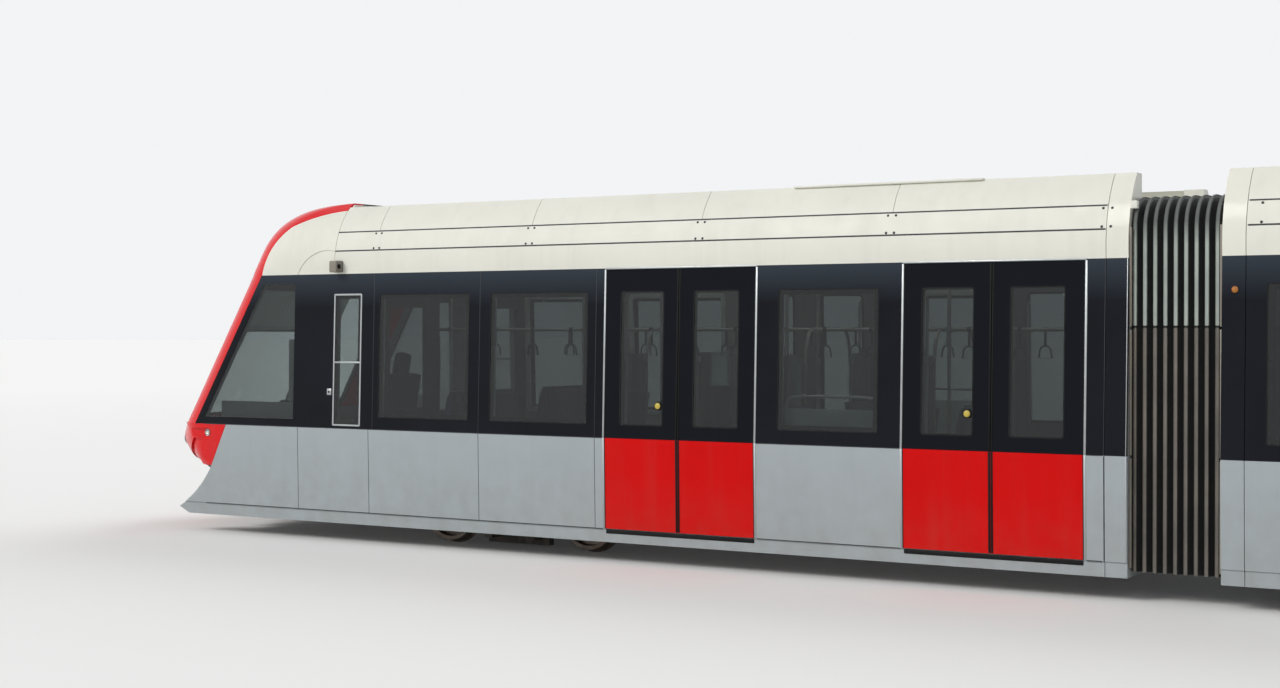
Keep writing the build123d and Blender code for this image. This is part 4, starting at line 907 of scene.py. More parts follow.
def fold_skin(half, top, foot, corner, depth, ridge):
    """One corrugated skin over the gangway: an arch drawn out along X, its rings let in to make the folds."""
    start, stop = CENTRE_END + 0.0015, END_X - 0.0015
    high = top - foot
    bpy.ops.object.select_all(action="DESELECT")
    bpy.ops.mesh.primitive_plane_add(size=1, location=(start, 0, foot + high / 2), rotation=(0, QUARTER, 0))
    piece = settle(ridge, (high, 2 * half, 1))
    piece.data.materials.append(finish["fold_groove"])
    open_mesh(piece, "VERT", lambda v: v.co.z > foot + high / 2)
    bpy.ops.mesh.bevel(offset=corner, segments=8, affect="VERTICES")
    close_mesh()
    open_mesh(piece, "FACE")
    bpy.ops.mesh.delete(type="ONLY_FACE")
    close_mesh()
    open_mesh(piece, "EDGE", lambda e: max(v.co.z for v in e.verts) < foot + 0.01)
    bpy.ops.mesh.delete(type="EDGE")
    for dz in (-0.014, 0.0, 0.014):
        bpy.ops.mesh.select_all(action="SELECT")
        bpy.ops.mesh.bisect(plane_co=(0, 0, FOLD_BREAK + dz), plane_no=(0, 0, 1))
    bpy.ops.mesh.select_all(action="SELECT")
    draw_out((stop - start, 0, 0))
    close_mesh()
    open_mesh(piece, "EDGE", lambda e: abs(e.verts[0].co.x - e.verts[1].co.x) > 0.5)
    bpy.ops.mesh.subdivide(number_cuts=FOLD_COUNT * FOLD_STEPS - 1)
    close_mesh(outwards=True)
    middle = Vector((0, 0, (foot + top) / 2))
    if sum(1 if p.normal.dot(p.center - middle) > 0 else -1 for p in piece.data.polygons) < 0:
        piece.data.flip_normals()
    step = (stop - start) / (FOLD_COUNT * FOLD_STEPS)

    def ring(place):
        """Which ring of a fold a place lies on, counted from the bottom of its groove."""
        return round((place.x - start) / step) % FOLD_STEPS

    for phase in range(FOLD_STEPS):
        inwards = depth * abs(2 * phase / FOLD_STEPS - 1) ** 2.4
        if inwards < 0.0005:
            continue
        open_mesh(piece, "VERT", lambda v: ring(v.co) == phase)
        bpy.ops.transform.shrink_fatten(value=-inwards)
        close_mesh()
    open_mesh(piece, "VERT", lambda v: abs(v.co.z - FOLD_BREAK) < 0.004)
    bpy.ops.transform.shrink_fatten(value=-0.007)
    close_mesh()
    for face in piece.data.polygons:
        rings = {ring(piece.data.vertices[n].co) for n in face.vertices}
        face.material_index = 1 if rings & {0, 1, FOLD_STEPS - 1} else 0
    finish_with(piece, "SOLIDIFY", thickness=0.004, offset=-1)
    return smooth(piece, 50)


def bellows():
    """Cloth outside and a flatter lining inside, set in place of the frame's bellows."""
    outer = fold_skin(FOLD_HALF, FOLD_TOP, FOLD_FOOT, FOLD_CORNER, FOLD_DEPTH, "bellows")
    half, top, foot, corner = FOLD_HALF - 0.112, FOLD_TOP - 0.112, FOLD_FOOT + 0.02, FOLD_CORNER - 0.09
    inner = fold_skin(half, top, foot, corner, 0.018, "bellows_lining")
    near = joined("bellows_b_cloth", [outer, inner])
    far = joined("bellows_a_cloth", [twin(near, HALF_TURN)])
    for piece, side, sign in ((near, "b", 1), (far, "a", -1)):
        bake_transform(piece)
        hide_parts("bellows_" + side)


# Nose: lamp units, camera pods, wipers and the coupler's hoses

BOWL_SIDES = 48
BEZEL = ((-0.055, 0.0905), (0.000, 0.0905), (0.022, 0.090), (0.025, 0.087))
BULB = ((0, 0.010), (0.010, 0.017), (0.018, 0.017), (0.024, 0.012), (0.026, 0.004))
SCOOP_BULB = ((0, 0.007), (0.005, 0.007), (0.008, 0.003))
EYE_RIM = ((0, 0.024), (0.004, 0.024), (0.006, 0.020), (0.003, 0.016))
EYE_GLASS = ((0, 0.015), (0.004, 0.015), (0.007, 0.010), (0.008, 0.003))


def bowl(radius, depth, at, way):
    """A dished reflector with a narrow rim, let in by two steps, open the way the lamp faces."""
    profile = [
        (-depth, radius * 0.35), (-depth * 0.8, radius * 0.62), (-depth * 0.45, radius * 0.86),
        (0.0, radius), (0.0015, radius), (0.0015, radius - 0.0025),
    ]
    piece = lathe("chrome", profile, at, way, BOWL_SIDES)
    at, way = Vector(at), Vector(way)

    def is_front(face):
        return len(face.verts) == BOWL_SIDES and (face.calc_center_median() - at).dot(way) > 0

    open_mesh(piece, "FACE", is_front)
    for inwards, size in ((depth * 0.45, 0.84), (depth * 0.30, 0.66)):
        draw_out(-inwards * way)
        bpy.ops.transform.resize(value=(size, size, size))
    bpy.ops.mesh.inset(thickness=0.004)
    close_mesh(outwards=True)
    return smooth(piece, 30)


def bezel(x, y, z):
    """The black ring round a headlamp, its front let in behind the lens."""
    piece = lathe("black", BEZEL, (x, y, z), AHEAD, BOWL_SIDES)
    open_mesh(piece, "FACE", lambda f: f.normal.x > 0.98 and len(f.verts) > 8)
    bpy.ops.mesh.inset(thickness=0.010)
    draw_out((-0.030, 0, 0))
    close_mesh()
    return piece


def lamp_units():
    """A bezel, a dished reflector and a bulb for each headlamp; a small dish and bulb for each scoop lamp."""
    bezels, bowls, bulbs = [], [], []
    for side in (1, -1):
        y, out = side * LAMP_Y, (0, side, 0)
        x = touch("car_b_lamps", (AHEAD_X, y, LAMP_Z), BACK)[0].x
        bezels.append(bezel(x - 0.020, y, LAMP_Z))
        bowls.append(bowl(0.076, 0.036, (x - 0.010, y, LAMP_Z), AHEAD))
        bowls.append(bowl(0.031, 0.012, (SCOOP_X, side * (SCOOP_Y - 0.0035), SCOOP_Z), out))
        bulbs.append(lathe("bulb", BULB, (x - 0.040, y, LAMP_Z), AHEAD, 20))
        bulbs.append(lathe("bulb", SCOOP_BULB, (SCOOP_X, side * (SCOOP_Y - 0.0125), SCOOP_Z), out, 16))
    ride_ends("lamp_bezels", bezels, "cast_gear")
    ride_ends("lamp_bowls", bowls)
    ride_ends("lamp_bulbs", bulbs)


def camera_pods():
    """The rounded case over each camera pod, with an eye that looks back along the side."""
    pods = []
    for side in (1, -1):
        y0, y1 = sorted((side * (POD_Y[0] + 0.004), side * (POD_Y[1] + 0.0015)))
        low, high = (POD_X[0] - 0.002, y0, POD_Z[0] - 0.002), (POD_X[1] + 0.002, y1, POD_Z[1] + 0.002)
        pods.append(bar("post", low, high, 0.012, 3))
        eye = (POD_X[0] - 0.002, side * (sum(POD_Y) + 0.03) / 2, sum(POD_Z) / 2)
        pods.append(lathe("black", EYE_RIM, eye, BACK, 24))
        pods.append(lathe("frit", EYE_GLASS, eye, BACK, 24))
    ride_ends("camera_pods", pods, "equipment_case")


WIPER_HUB = ((0.0, 0.030), (0.025, 0.030), (0.040, 0.022), (0.046, 0.010))
WIPER_PLACES, WIPER_STEP = 7, 0.145


def wipers():
    """Two wipers parked upwards on the screen: pivot, arm, and a blade that follows the glass."""
    pieces = []
    for side in (1, -1):
        foot = on_screen(side * 0.62, 1.20)[0]
        run = [on_screen(side * (0.60 - n * 0.012), 1.26 + n * WIPER_STEP) for n in range(WIPER_PLACES)]
        blade = [place + normal * 0.012 for place, normal in run]
        spine = [place + normal * 0.026 for place, normal in run[1:-1]]
        arm = [foot + Vector((0.018, 0, -0.02)), foot + Vector((0.035, 0, 0.05))]
        arm += [run[2][0] + run[2][1] * 0.045, run[3][0] + run[3][1] * 0.034]
        for line, radius in ((blade, 0.0055), (spine, 0.0075), (arm, 0.010)):
            pieces.append(pipe("black", line, radius, sides=2))
        pieces.append(lathe("black", WIPER_HUB, foot + Vector((-0.015, 0, -0.02)), (1, 0, 0.35), 24))
    ride_ends("wipers", pieces, "cast_gear")


HOSE_END = ((0, 0.022), (0.05, 0.024), (0.06, 0.018))
BOLT_HEAD = ((0, 0.015), (0.006, 0.015), (0.008, 0.011))


def coupler_hoses():
    """Air hoses that hang beside the coupler, their end fittings, and the bolts of the coupler's face."""
    pieces = []
    for side, drop in ((1, 0.20), (-1, 0.17)):
        y = side * 0.24
        route = [
            (15.44, y, 0.40), (15.56, y, 0.40), (15.72, y + side * 0.02, 0.40 - drop * 0.55),
            (15.90, y, 0.40 - drop * 0.4), (16.02, y - side * 0.03, 0.36), (16.06, y - side * 0.05, 0.40),
        ]
        pieces.append(pipe("black", route, 0.016))
        pieces.append(lathe("cast", HOSE_END, (16.03, y - side * 0.04, 0.37), (0.2, 0, 1), 16))
    for z in (0.35, 0.53):
        for y in (-0.13, 0.13):
            pieces.append(lathe("cast", BOLT_HEAD, (16.158, y, z), AHEAD, 6))
    ride_ends("coupler_gear", pieces, "cast_gear")


# Saloon: light strips, straps, cushions, draught screens


def light_row(first, pitch, count, length, margin):
    """Lit strips in their housings along both sides of the ceiling."""
    lit, shades = [], []
    for y in (STRIP_Y, -STRIP_Y):
        for n in range(count):
            x0 = first + n * pitch
            x1 = x0 + length
            lit.append(bar("light", (x0, y - 0.055, 2.712), (x1, y + 0.055, 2.738), 0.010))
            low, high = (x0 - margin, y - 0.09, 2.722), (x1 + margin, y + 0.09, 2.7405)
            shades.append(bar("lining", low, high, 0.006))
    return lit, shades


def light_strips():
    lit, shades = light_row(6.15, 1.72, 4, 1.60, 0.06)
    ride_ends("light_strips", lit)
    ride_ends("light_housings", shades)
    lit, shades = light_row(-4.70, 1.88, 5, 1.76, 0.05)
    ride_centre("light_strips", lit)
    ride_centre("light_housings", shades)


STRAP_CLIP = ((0, 0.021), (0.004, 0.024), (0.028, 0.024), (0.032, 0.021))
END_STRAPS = [6.9 + 0.45 * n for n in range(13)]
CENTRE_STRAPS = [-3.9 + 0.6 * n for n in range(14)]


def strap():
    """A hanging strap: a clip on the rail, a webbing band and a rounded grip."""
    clip = lathe("black", STRAP_CLIP, (-0.016, 0, 0), AHEAD, 16)
    band = bar("webbing", (-0.0125, -0.002, -0.150), (0.0125, 0.002, -0.016), 0.0012, 1)
    bpy.ops.object.select_all(action="DESELECT")
    bpy.ops.mesh.primitive_torus_add(
        location=(0, 0, -0.195), rotation=(QUARTER, 0, 0), major_radius=0.052, minor_radius=0.0085,
        major_segments=24, minor_segments=8,
    )
    grip = settle("grip")
    open_mesh(grip, "VERT", lambda v: v.co.z < -0.215)
    bpy.ops.transform.translate(value=(0, 0, -0.012))
    bpy.ops.transform.resize(value=(1.35, 1.0, 0.25))
    close_mesh()
    return {"strap_clips": clip, "strap_webbing": band, "strap_grips": smooth(grip, 60)}


def straps():
    for name, proto in strap().items():
        for ride, places in ((ride_ends, END_STRAPS), (ride_centre, CENTRE_STRAPS)):
            ride(name, [twin(proto, moved(x, y, RAIL_Z)) for x in places for y in (RAIL_Y, -RAIL_Y)])
        discard(proto)


def cushion(width, depth, thick, crown, levels=1):
    """A crowned pad: a rounded slab with a piped edge, its top swelling in rings, subdivided."""
    bpy.ops.object.select_all(action="DESELECT")
    bpy.ops.mesh.primitive_cube_add(size=1, location=(0, 0, thick / 2), scale=(depth, width, thick))
    pad = settle("seat")
    open_mesh(pad, "EDGE", lambda e: abs(e.verts[0].co.z - e.verts[1].co.z) > thick / 2)
    bpy.ops.mesh.bevel(offset=0.045, segments=3, affect="EDGES")
    close_mesh()
    open_mesh(pad, "EDGE", lambda e: abs(e.verts[0].co.z - e.verts[1].co.z) < thick / 2)
    bpy.ops.mesh.bevel(offset=thick * 0.22, segments=2, affect="EDGES")
    close_mesh()
    open_mesh(pad, "FACE", lambda f: f.normal.z < -0.9)
    bpy.ops.mesh.inset(thickness=0.012)
    close_mesh()
    open_mesh(pad, "FACE", lambda f: f.normal.z > 0.9)
    piping = ((0.004, -0.0025), (0.004, 0.0025))
    swell = ((0.018, crown * 0.55), (0.050, crown * 0.35), (0.060, crown * 0.10))
    for inwards, up in piping + swell:
        bpy.ops.mesh.inset(thickness=inwards)
        bpy.ops.transform.translate(value=(0, 0, up))
    close_mesh()
    finish_with(pad, "SUBSURF", levels=levels, render_levels=levels)
    return smooth(pad, 60)


PAN_SLOPE, BACK_LEAN = math.atan2(0.015, 0.370), 0.2005
PAN_AT, BACK_AT, PAD_ASIDE = (0.235, 0, 0.0575), (0.003, 0, 0.345), 0.2175


def seat_cushions(rows):
    """Two pads on the pan and two on the back of each double seat; rows are (place, way it faces, height)."""
    seat_pad = cushion(0.405, 0.400, 0.020, 0.016)
    back_pad = cushion(0.405, 0.520, 0.018, 0.016)
    made = []
    for x, facing, height in rows:
        turn = Matrix.Identity(4) if facing > 0 else HALF_TURN
        pan = moved(z=height) @ moved(*PAN_AT) @ Matrix.Rotation(-PAN_SLOPE, 4, "Y")
        back = moved(z=height) @ moved(*BACK_AT) @ Matrix.Rotation(QUARTER - BACK_LEAN, 4, "Y")
        for side in (1, -1):
            for half in (-1, 1):
                y = side * (SEAT_OUTER - SEAT_WIDTH / 2) + half * PAD_ASIDE
                for pad, local in ((seat_pad, pan), (back_pad, back)):
                    made.append(twin(pad, moved(x, y) @ turn @ local))
    discard(seat_pad, back_pad)
    return made


def cushions():
    on_floor, on_box = FLOOR_Z + SEAT_LEGS, BOX_Z + BOX_LEGS
    first, last = END_X + END_WINDOWS[0][0] - 0.05, END_X + END_WINDOWS[0][1] + 0.05
    rows = [(first, 1, on_floor), (last, -1, on_floor)]
    rows += [(BOGIE_X[3] + dx, facing, on_box) for dx, facing in BOGIE_SEATS]
    for piece in ride_ends("seat_cushions", seat_cushions(rows), "seat_shell"):
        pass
    aisle_end = CENTRE_DOORS[1] - 0.04
    rows = [(-aisle_end, 1, on_floor), (aisle_end, -1, on_floor)]
    for s in (-1, 1):
        rows += [(s * (BOGIE_X[2] + dx), s * facing, on_box) for dx, facing in BOGIE_SEATS]
    ride_centre("seat_cushions", seat_cushions(rows), "seat_shell")


def draught_screen(x, side):
    """A pane beside a door, with the tube along its inner edge up to the ceiling rail, and two clamps."""
    y0, y1 = sorted((side * PANE_Y[0], side * PANE_Y[1]))
    pane = bar("pane", (x - 0.004, y0, PANE_Z[0]), (x + 0.004, y1, PANE_Z[1]), 0.003)
    y = side * 0.48
    tube = [(x, y, FLOOR_Z + 0.001), (x, y, 1.2), (x, y, RAIL_Z - 0.02), (x, side * 0.33, RAIL_Z)]
    metal = [pipe("steel", tube, 0.016)]
    for z in (0.56, 1.80):
        metal.append(bar("steel", (x - 0.012, y - 0.02, z - 0.03), (x + 0.012, y + side * 0.05, z + 0.03)))
    return pane, metal


def window_panel(x0, x1, side):
    """The low panel behind the window between the doors, and the rail above it."""
    y = side * (skin(1.4) - 0.105)
    panel = bar("panel", (x0 + 0.02, y - 0.008, 0.96), (x1 - 0.02, y + 0.008, 1.415), 0.006)
    foot = y + side * 0.02
    rail = [
        (x0 + 0.04, foot, 1.40), (x0 + 0.04, y, 1.50), (x0 + 0.12, y, 1.52),
        (x1 - 0.12, y, 1.52), (x1 - 0.04, y, 1.50), (x1 - 0.04, foot, 1.40),
    ]
    return panel, pipe("steel", rail, 0.014)


def screens():
    """Draught screens beside the doors, and the rail and panel behind the window between them."""
    panes, tubes, panels = [], [], []
    for x in PANE_PLACES:
        for side in (1, -1):
            pane, metal = draught_screen(END_X + x, side)
            panes.append(pane)
            tubes += metal
    for side in (1, -1):
        panel, rail = window_panel(END_X + END_WINDOWS[0][0], END_X + END_WINDOWS[0][1], side)
        panels.append(panel)
        tubes.append(rail)
    ride_ends("draught_screens", panes, "glass")
    ride_ends("screen_tubes", tubes, "grab_pole")
    ride_ends("window_panels", panels)


# Roof gear: fans with their guards, lids, latches and pipes

FAN_BLADES, GUARD_RINGS, GUARD_SPOKES = 7, 7, 6
ROTOR_HUB = ((0, 0.086), (0.006, 0.084), (0.012, 0.070), (0.014, 0.030))
GUARD_HUB = ((0, 0.045), (0.006, 0.045), (0.010, 0.036), (0.011, 0.010))
LATCH_CUP = ((-0.001, 0.020), (0.003, 0.020), (0.004, 0.015))
FEED_CABLE = (
    (-0.25, 0.38, 2.955), (-0.36, 0.42, 2.95), (-0.55, 0.50, 2.845), (-0.90, 0.52, 2.835),
    (-1.35, 0.50, 2.84), (-1.46, 0.45, 2.90), (-1.52, 0.40, 2.95),
)


def fan_set():
    """A fan for a mouth in the climate unit's lid: rotor, hub and wire guard, about the mouth's middle."""
    rotor, guard = [], []
    pitch = (math.radians(28), 0, 0)
    for n in range(FAN_BLADES):
        blade = bar("cast", (0.070, -0.045, -0.002), (0.240, 0.045, 0.002), 0.0018, 1, turn=pitch)
        rotor.append(put(blade, moved(z=-0.036), Matrix.Rotation(2 * math.pi * n / FAN_BLADES, 4, "Z")))
    rotor.append(lathe("cast", ROTOR_HUB, (0, 0, -0.021)))
    for n in range(GUARD_RINGS):
        bpy.ops.object.select_all(action="DESELECT")
        bpy.ops.mesh.primitive_torus_add(
            location=(0, 0, 0.006), major_radius=0.052 + n * 0.034, minor_radius=0.0032,
            major_segments=40, minor_segments=6,
        )
        guard.append(smooth(settle("steel"), 60))
    for n in range(GUARD_SPOKES):
        spoke = bar("steel", (0.040, -0.0035, 0.0005), (0.275, 0.0035, 0.0065), 0.0015, 1)
        guard.append(put(spoke, Matrix.Rotation(2 * math.pi * n / GUARD_SPOKES, 4, "Z")))
    guard.append(lathe("steel", GUARD_HUB, (0, 0, 0.002)))
    return joined("rotor", rotor), joined("guard", guard)


def latch(place):
    """A quarter-turn latch, a cup with a cross bar, set at a place."""
    cup = lathe("steel", LATCH_CUP, steps=20)
    cross = bar("steel", (-0.012, -0.0025, 0.003), (0.012, 0.0025, 0.007), 0.001, 1)
    return put(joined("latch", [cup, cross]), place)


def lid(x0, x1, half, top):
    """A pressed lid on a roof unit: a raised plate with swaged ribs, and its two handles and four latches."""
    plate = bar("case", (x0, -half, top - 0.002), (x1, half, top + 0.007), 0.004)
    open_mesh(plate, "FACE", lambda f: f.normal.z > 0.99 and f.calc_area() > 0.05)
    bpy.ops.mesh.inset(thickness=0.045)
    bpy.ops.mesh.inset(thickness=0.010, depth=0.006)
    close_mesh()
    plates, metal = [plate], []
    for n in (-1, 0, 1):
        y = n * half * 0.55
        low, high = (x0 + 0.12, y - 0.018, top + 0.010), (x1 - 0.12, y + 0.018, top + 0.0185)
        plates.append(bar("case", low, high, 0.008, 3))
    for x in (x0 + 0.06, x1 - 0.06):
        line = [(x, y, top + up) for y, up in ((-0.07, 0.005), (-0.07, 0.035), (0.07, 0.035), (0.07, 0.005))]
        metal.append(pipe("steel", line, 0.006))
        for y in (-half + 0.025, half - 0.025):
            metal.append(latch(moved(x, y, top + 0.007)))
    return plates, metal


def deck_pipes(x0, x1):
    """Pipes and conduits clamped to the roof deck beside the units."""
    pieces, count = [], int((x1 - x0) / PIPE_CLAMP)
    for y, radius in DECK_RUNS:
        z = DECK_Z + 0.020 + radius
        pieces.append(pipe("case", [(x, y, z) for x in (x0, (x0 + x1) / 2, x1)], radius, order=2))
        for n in range(count + 1):
            x = x0 + 0.1 + n * (x1 - x0 - 0.2) / count
            half = radius + 0.010
            low, high = (x - 0.018, y - half, DECK_Z), (x + 0.018, y + half, z + radius * 0.5)
            pieces.append(bar("case", low, high, 0.006))
    return pieces


def roof_gear(ride, climate, lids, pipes):
    """The fans, lids and pipes of one section's roof, with their metalwork, ridden together."""
    rotor, guard = fan_set()
    mouths = [moved(climate + dx, 0, CLIMATE_TOP) for dx in (-FAN_STEP, FAN_STEP)]
    plates, metal = [], [twin(guard, mouth) for mouth in mouths]
    for measures in lids:
        plate, parts = lid(*measures)
        plates += plate
        metal += parts
    ride("fan_rotors", [twin(rotor, mouth) for mouth in mouths], "cast_gear")
    ride("roof_metalwork", metal, "grab_pole")
    ride("roof_lids", plates, "equipment_case")
    ride("roof_pipes", pipes, "equipment_case")
    discard(rotor, guard)


def roof_details():
    roof_gear(ride_ends, END_CLIMATE, END_LIDS, deck_pipes(END_X + 0.45, 13.30))
    feed = pipe("cable", FEED_CABLE, 0.017)
    roof_gear(ride_centre, CENTRE_CLIMATE, CENTRE_LIDS, deck_pipes(-4.55, 4.55) + [feed])


# Roof covers: the lines along them, their screws, and the raised edge over the doors

COVER_SCREW = ((-0.002, 0.011), (0.0015, 0.011), (0.0025, 0.008))


def cover_lines(x0, x1):
    """The seals in the groove and the hinge gap that run along a roof cover."""
    low, high = (x0, -0.004, -COVER_LINE_HIGH / 2), (x1, 0.0008, COVER_LINE_HIGH / 2)
    return [put(bar("joint", low, high, 0.001, 1), on_side(0.0, z)) for z in COVER_LINE_Z]


def cover_details():
    ride_ends("cover_lines", mirrored(cover_lines(END_X + 0.180, CAP_X)), "roof_cover")
    ride_centre("cover_lines", mirrored(cover_lines(-4.815, 4.815)), "roof_cover")
    screw = lathe("joint", COVER_SCREW, axis=OUTWARDS, steps=16)
    places = [END_X + u + du for u in COVER_SEAMS for du in (-0.035, 0.035)]
    screws = [twin(screw, on_side(x, z)) for x in places for z in SCREW_Z]
    ride_ends("cover_screws", mirrored(screws), "roof_cover")
    screws = [twin(screw, on_side(x, z)) for x in CENTRE_SCREWS for z in SCREW_Z]
    ride_centre("cover_screws", quartered(screws), "roof_cover")
    discard(screw)
    edge = bar("cream", (END_X + 1.24, 1.015, 3.282), (END_X + 2.94, 1.085, 3.3005), 0.008, 3)
    bracket = bar("cream", (END_X - 0.055, 1.192, 3.002), (END_X - 0.0005, 1.240, 3.062), 0.006)
    ride_ends("cover_edges", mirrored([edge, bracket]), "roof_cover")


# Cab: driver's seat pads, desk, displays, linings, the wall behind it and the sun blind

DESK_DISPLAYS = ((-0.36, 0.30), (0.0, 0.34), (0.36, 0.30))
CAB_LAMP = ((0, 0.090), (0.012, 0.088), (0.020, 0.070), (0.022, 0.020))
DESK_HANDLE = (
    (0, 0.045), (0.012, 0.045), (0.02, 0.030), (0.022, 0.012),
    (0.10, 0.010), (0.105, 0.024), (0.15, 0.026), (0.16, 0.016),
)


def cab_seat():
    """Pads on the driver's seat: pan, back and headrest."""
    upright = Matrix.Rotation(QUARTER - 0.20, 4, "Y")
    pan = put(cushion(0.46, 0.46, 0.045, 0.030, levels=2), moved(CAB_SEAT_X - 0.010, 0, 0.892))
    back = put(cushion(0.66, 0.44, 0.040, 0.030, levels=2), moved(CAB_SEAT_X - 0.225, 0, 1.235) @ upright)
    rest = put(cushion(0.20, 0.26, 0.050, 0.026, levels=2), moved(CAB_SEAT_X - 0.350, 0, 1.700) @ upright)
    for piece in ride_ends("cab_seat_pads", [pan, back, rest], "cab_trim"):
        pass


def cab_desk():
    """Three displays turned towards the driver, two handles and the rail along the desk."""
    dark, glow = [], []
    for y, wide in DESK_DISPLAYS:
        tilt = (0, math.radians(-58), math.radians(-y * 60))
        y0, y1 = y - wide / 2, y + wide / 2
        dark.append(bar("cab", (14.945, y0, 1.175), (14.975, y1, 1.375), 0.008, turn=tilt))
        glow.append(bar("display", (14.938, y0 + 0.02, 1.20), (14.946, y1 - 0.02, 1.36), 0.002, turn=tilt))
    dark += [lathe("black", DESK_HANDLE, (14.82, y, 1.13), (0.05, 0, 1), 24) for y in (-0.62, 0.62)]
    dark.append(bar("cab", (14.99, -0.86, 1.16), (15.06, 0.86, 1.205), 0.02, 3))
    ride_ends("cab_console", dark, "cab_trim")
    ride_ends("cab_displays", glow)


def cab_linings():
    """The sill under each side window of the cab and the post behind it."""
    pieces = []
    for y, low_x, high_x, low_z, high_z, bevel in (
        (1.175, 14.16, 15.15, 1.14, 1.35, 0.010), (1.190, 14.15, 14.22, 1.36, 1.98, 0.008),
    ):
        for y in (y, -y):
            pieces.append(bar("blind", (low_x, y - 0.012, low_z), (high_x, y + 0.012, high_z), bevel))
    ride_ends("cab_linings", pieces)


def hood_wall():
    """The wall that closes the hood towards the roof deck, cut to the covers' arc."""
    plate = bar("cream", (CAP_X - 0.022, -1.27, DECK_Z - 0.015), (CAP_X + 0.014, 1.27, HOOD_BACK_Z), 0.003)
    radius = COVER_R - 0.018
    for side in (1, -1):
        for degrees in range(6, 54, 8):
            out, up = side * math.cos(math.radians(degrees)), math.sin(math.radians(degrees))
            spot = (0, side * COVER_Y + radius * out, COVER_AT + radius * up)
            open_mesh(plate)
            bpy.ops.mesh.bisect(plane_co=spot, plane_no=(0, out, up), use_fill=True, clear_outer=True)
            close_mesh()
    return smooth(plate)


def hood_hatch():
    """The pressed hatch in the hood's wall."""
    low, high = (CAP_X - 0.034, -0.52, DECK_Z + 0.06), (CAP_X - 0.020, 0.52, HOOD_BACK_Z - 0.07)
    hatch = bar("cream", low, high, 0.006, 3)
    open_mesh(hatch, "FACE", lambda f: f.normal.x < -0.99 and f.calc_area() > 0.05)
    bpy.ops.mesh.inset(thickness=0.035)
    bpy.ops.mesh.inset(thickness=0.008, depth=-0.005)
    close_mesh()
    return hatch


def hood_back():
    """Wall, hatch and latches behind the hood, and under it the cab's ceiling with a lamp."""
    flat = Matrix.Rotation(-QUARTER, 4, "Y")
    spots = [(y, z) for y in (-0.48, 0.48) for z in (DECK_Z + 0.10, HOOD_BACK_Z - 0.11)]
    ride_ends("hood_backs", [hood_wall(), hood_hatch()], "roof_cover")
    ride_ends("hood_latches", [latch(moved(CAP_X - 0.034, y, z) @ flat) for y, z in spots], "grab_pole")
    ceiling = [
        bar("blind", (CAP_X - 0.004, -1.240, 2.600), (14.300, 1.240, 2.632), 0.010),
        bar("blind", (14.290, -1.000, 2.604), (14.860, 1.000, 2.628), 0.010),
    ]
    ride_ends("cab_ceilings", ceiling, "cab_trim")
    ride_ends("cab_lamps", [lathe("light", CAB_LAMP, (14.02, 0, 2.602), (0, 0, -1))])


BLIND_PLEATS = 24


def across_screen(half, z, steps=9):
    """Places across the windscreen at one height, as far behind its outer face as the blind hangs."""
    places = [half * (2 * step / (steps - 1) - 1) for step in range(steps)]
    return [on_screen(y, z)[0] - Vector((BLIND_BEHIND, 0, 0)) for y in places]


def blind_cloth():
    """A sheet laid on the windscreen's curve, pleated, and drawn back to where the blind hangs."""
    high = BLIND_TOP - BLIND_FOOT
    bpy.ops.object.select_all(action="DESELECT")
    bpy.ops.mesh.primitive_grid_add(
        x_subdivisions=8, y_subdivisions=96, size=1, location=(AHEAD_X, 0, BLIND_FOOT + high / 2),
        rotation=(0, QUARTER, 0),
    )
    cloth = settle("blind_cloth", (high, 2 * BLIND_HALF, 1))
    finish_with(
        cloth, "SHRINKWRAP", target=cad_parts["car_b_windscreen"], wrap_method="PROJECT",
        use_project_x=True, use_negative_direction=True, use_positive_direction=False,
    )
    pleat = BLIND_HALF / BLIND_PLEATS
    for phase, depth in ((0, 0.006), (2, -0.006)):
        open_mesh(cloth, "VERT", lambda v: round((v.co.y + BLIND_HALF) * 2 / pleat) % 4 == phase)
        bpy.ops.transform.translate(value=(depth, 0, 0))
        close_mesh()
    open_mesh(cloth)
    bpy.ops.transform.translate(value=(-BLIND_BEHIND, 0, 0))
    close_mesh()
    finish_with(cloth, "SOLIDIFY", thickness=0.0010, offset=0)
    return smooth(cloth, 70)


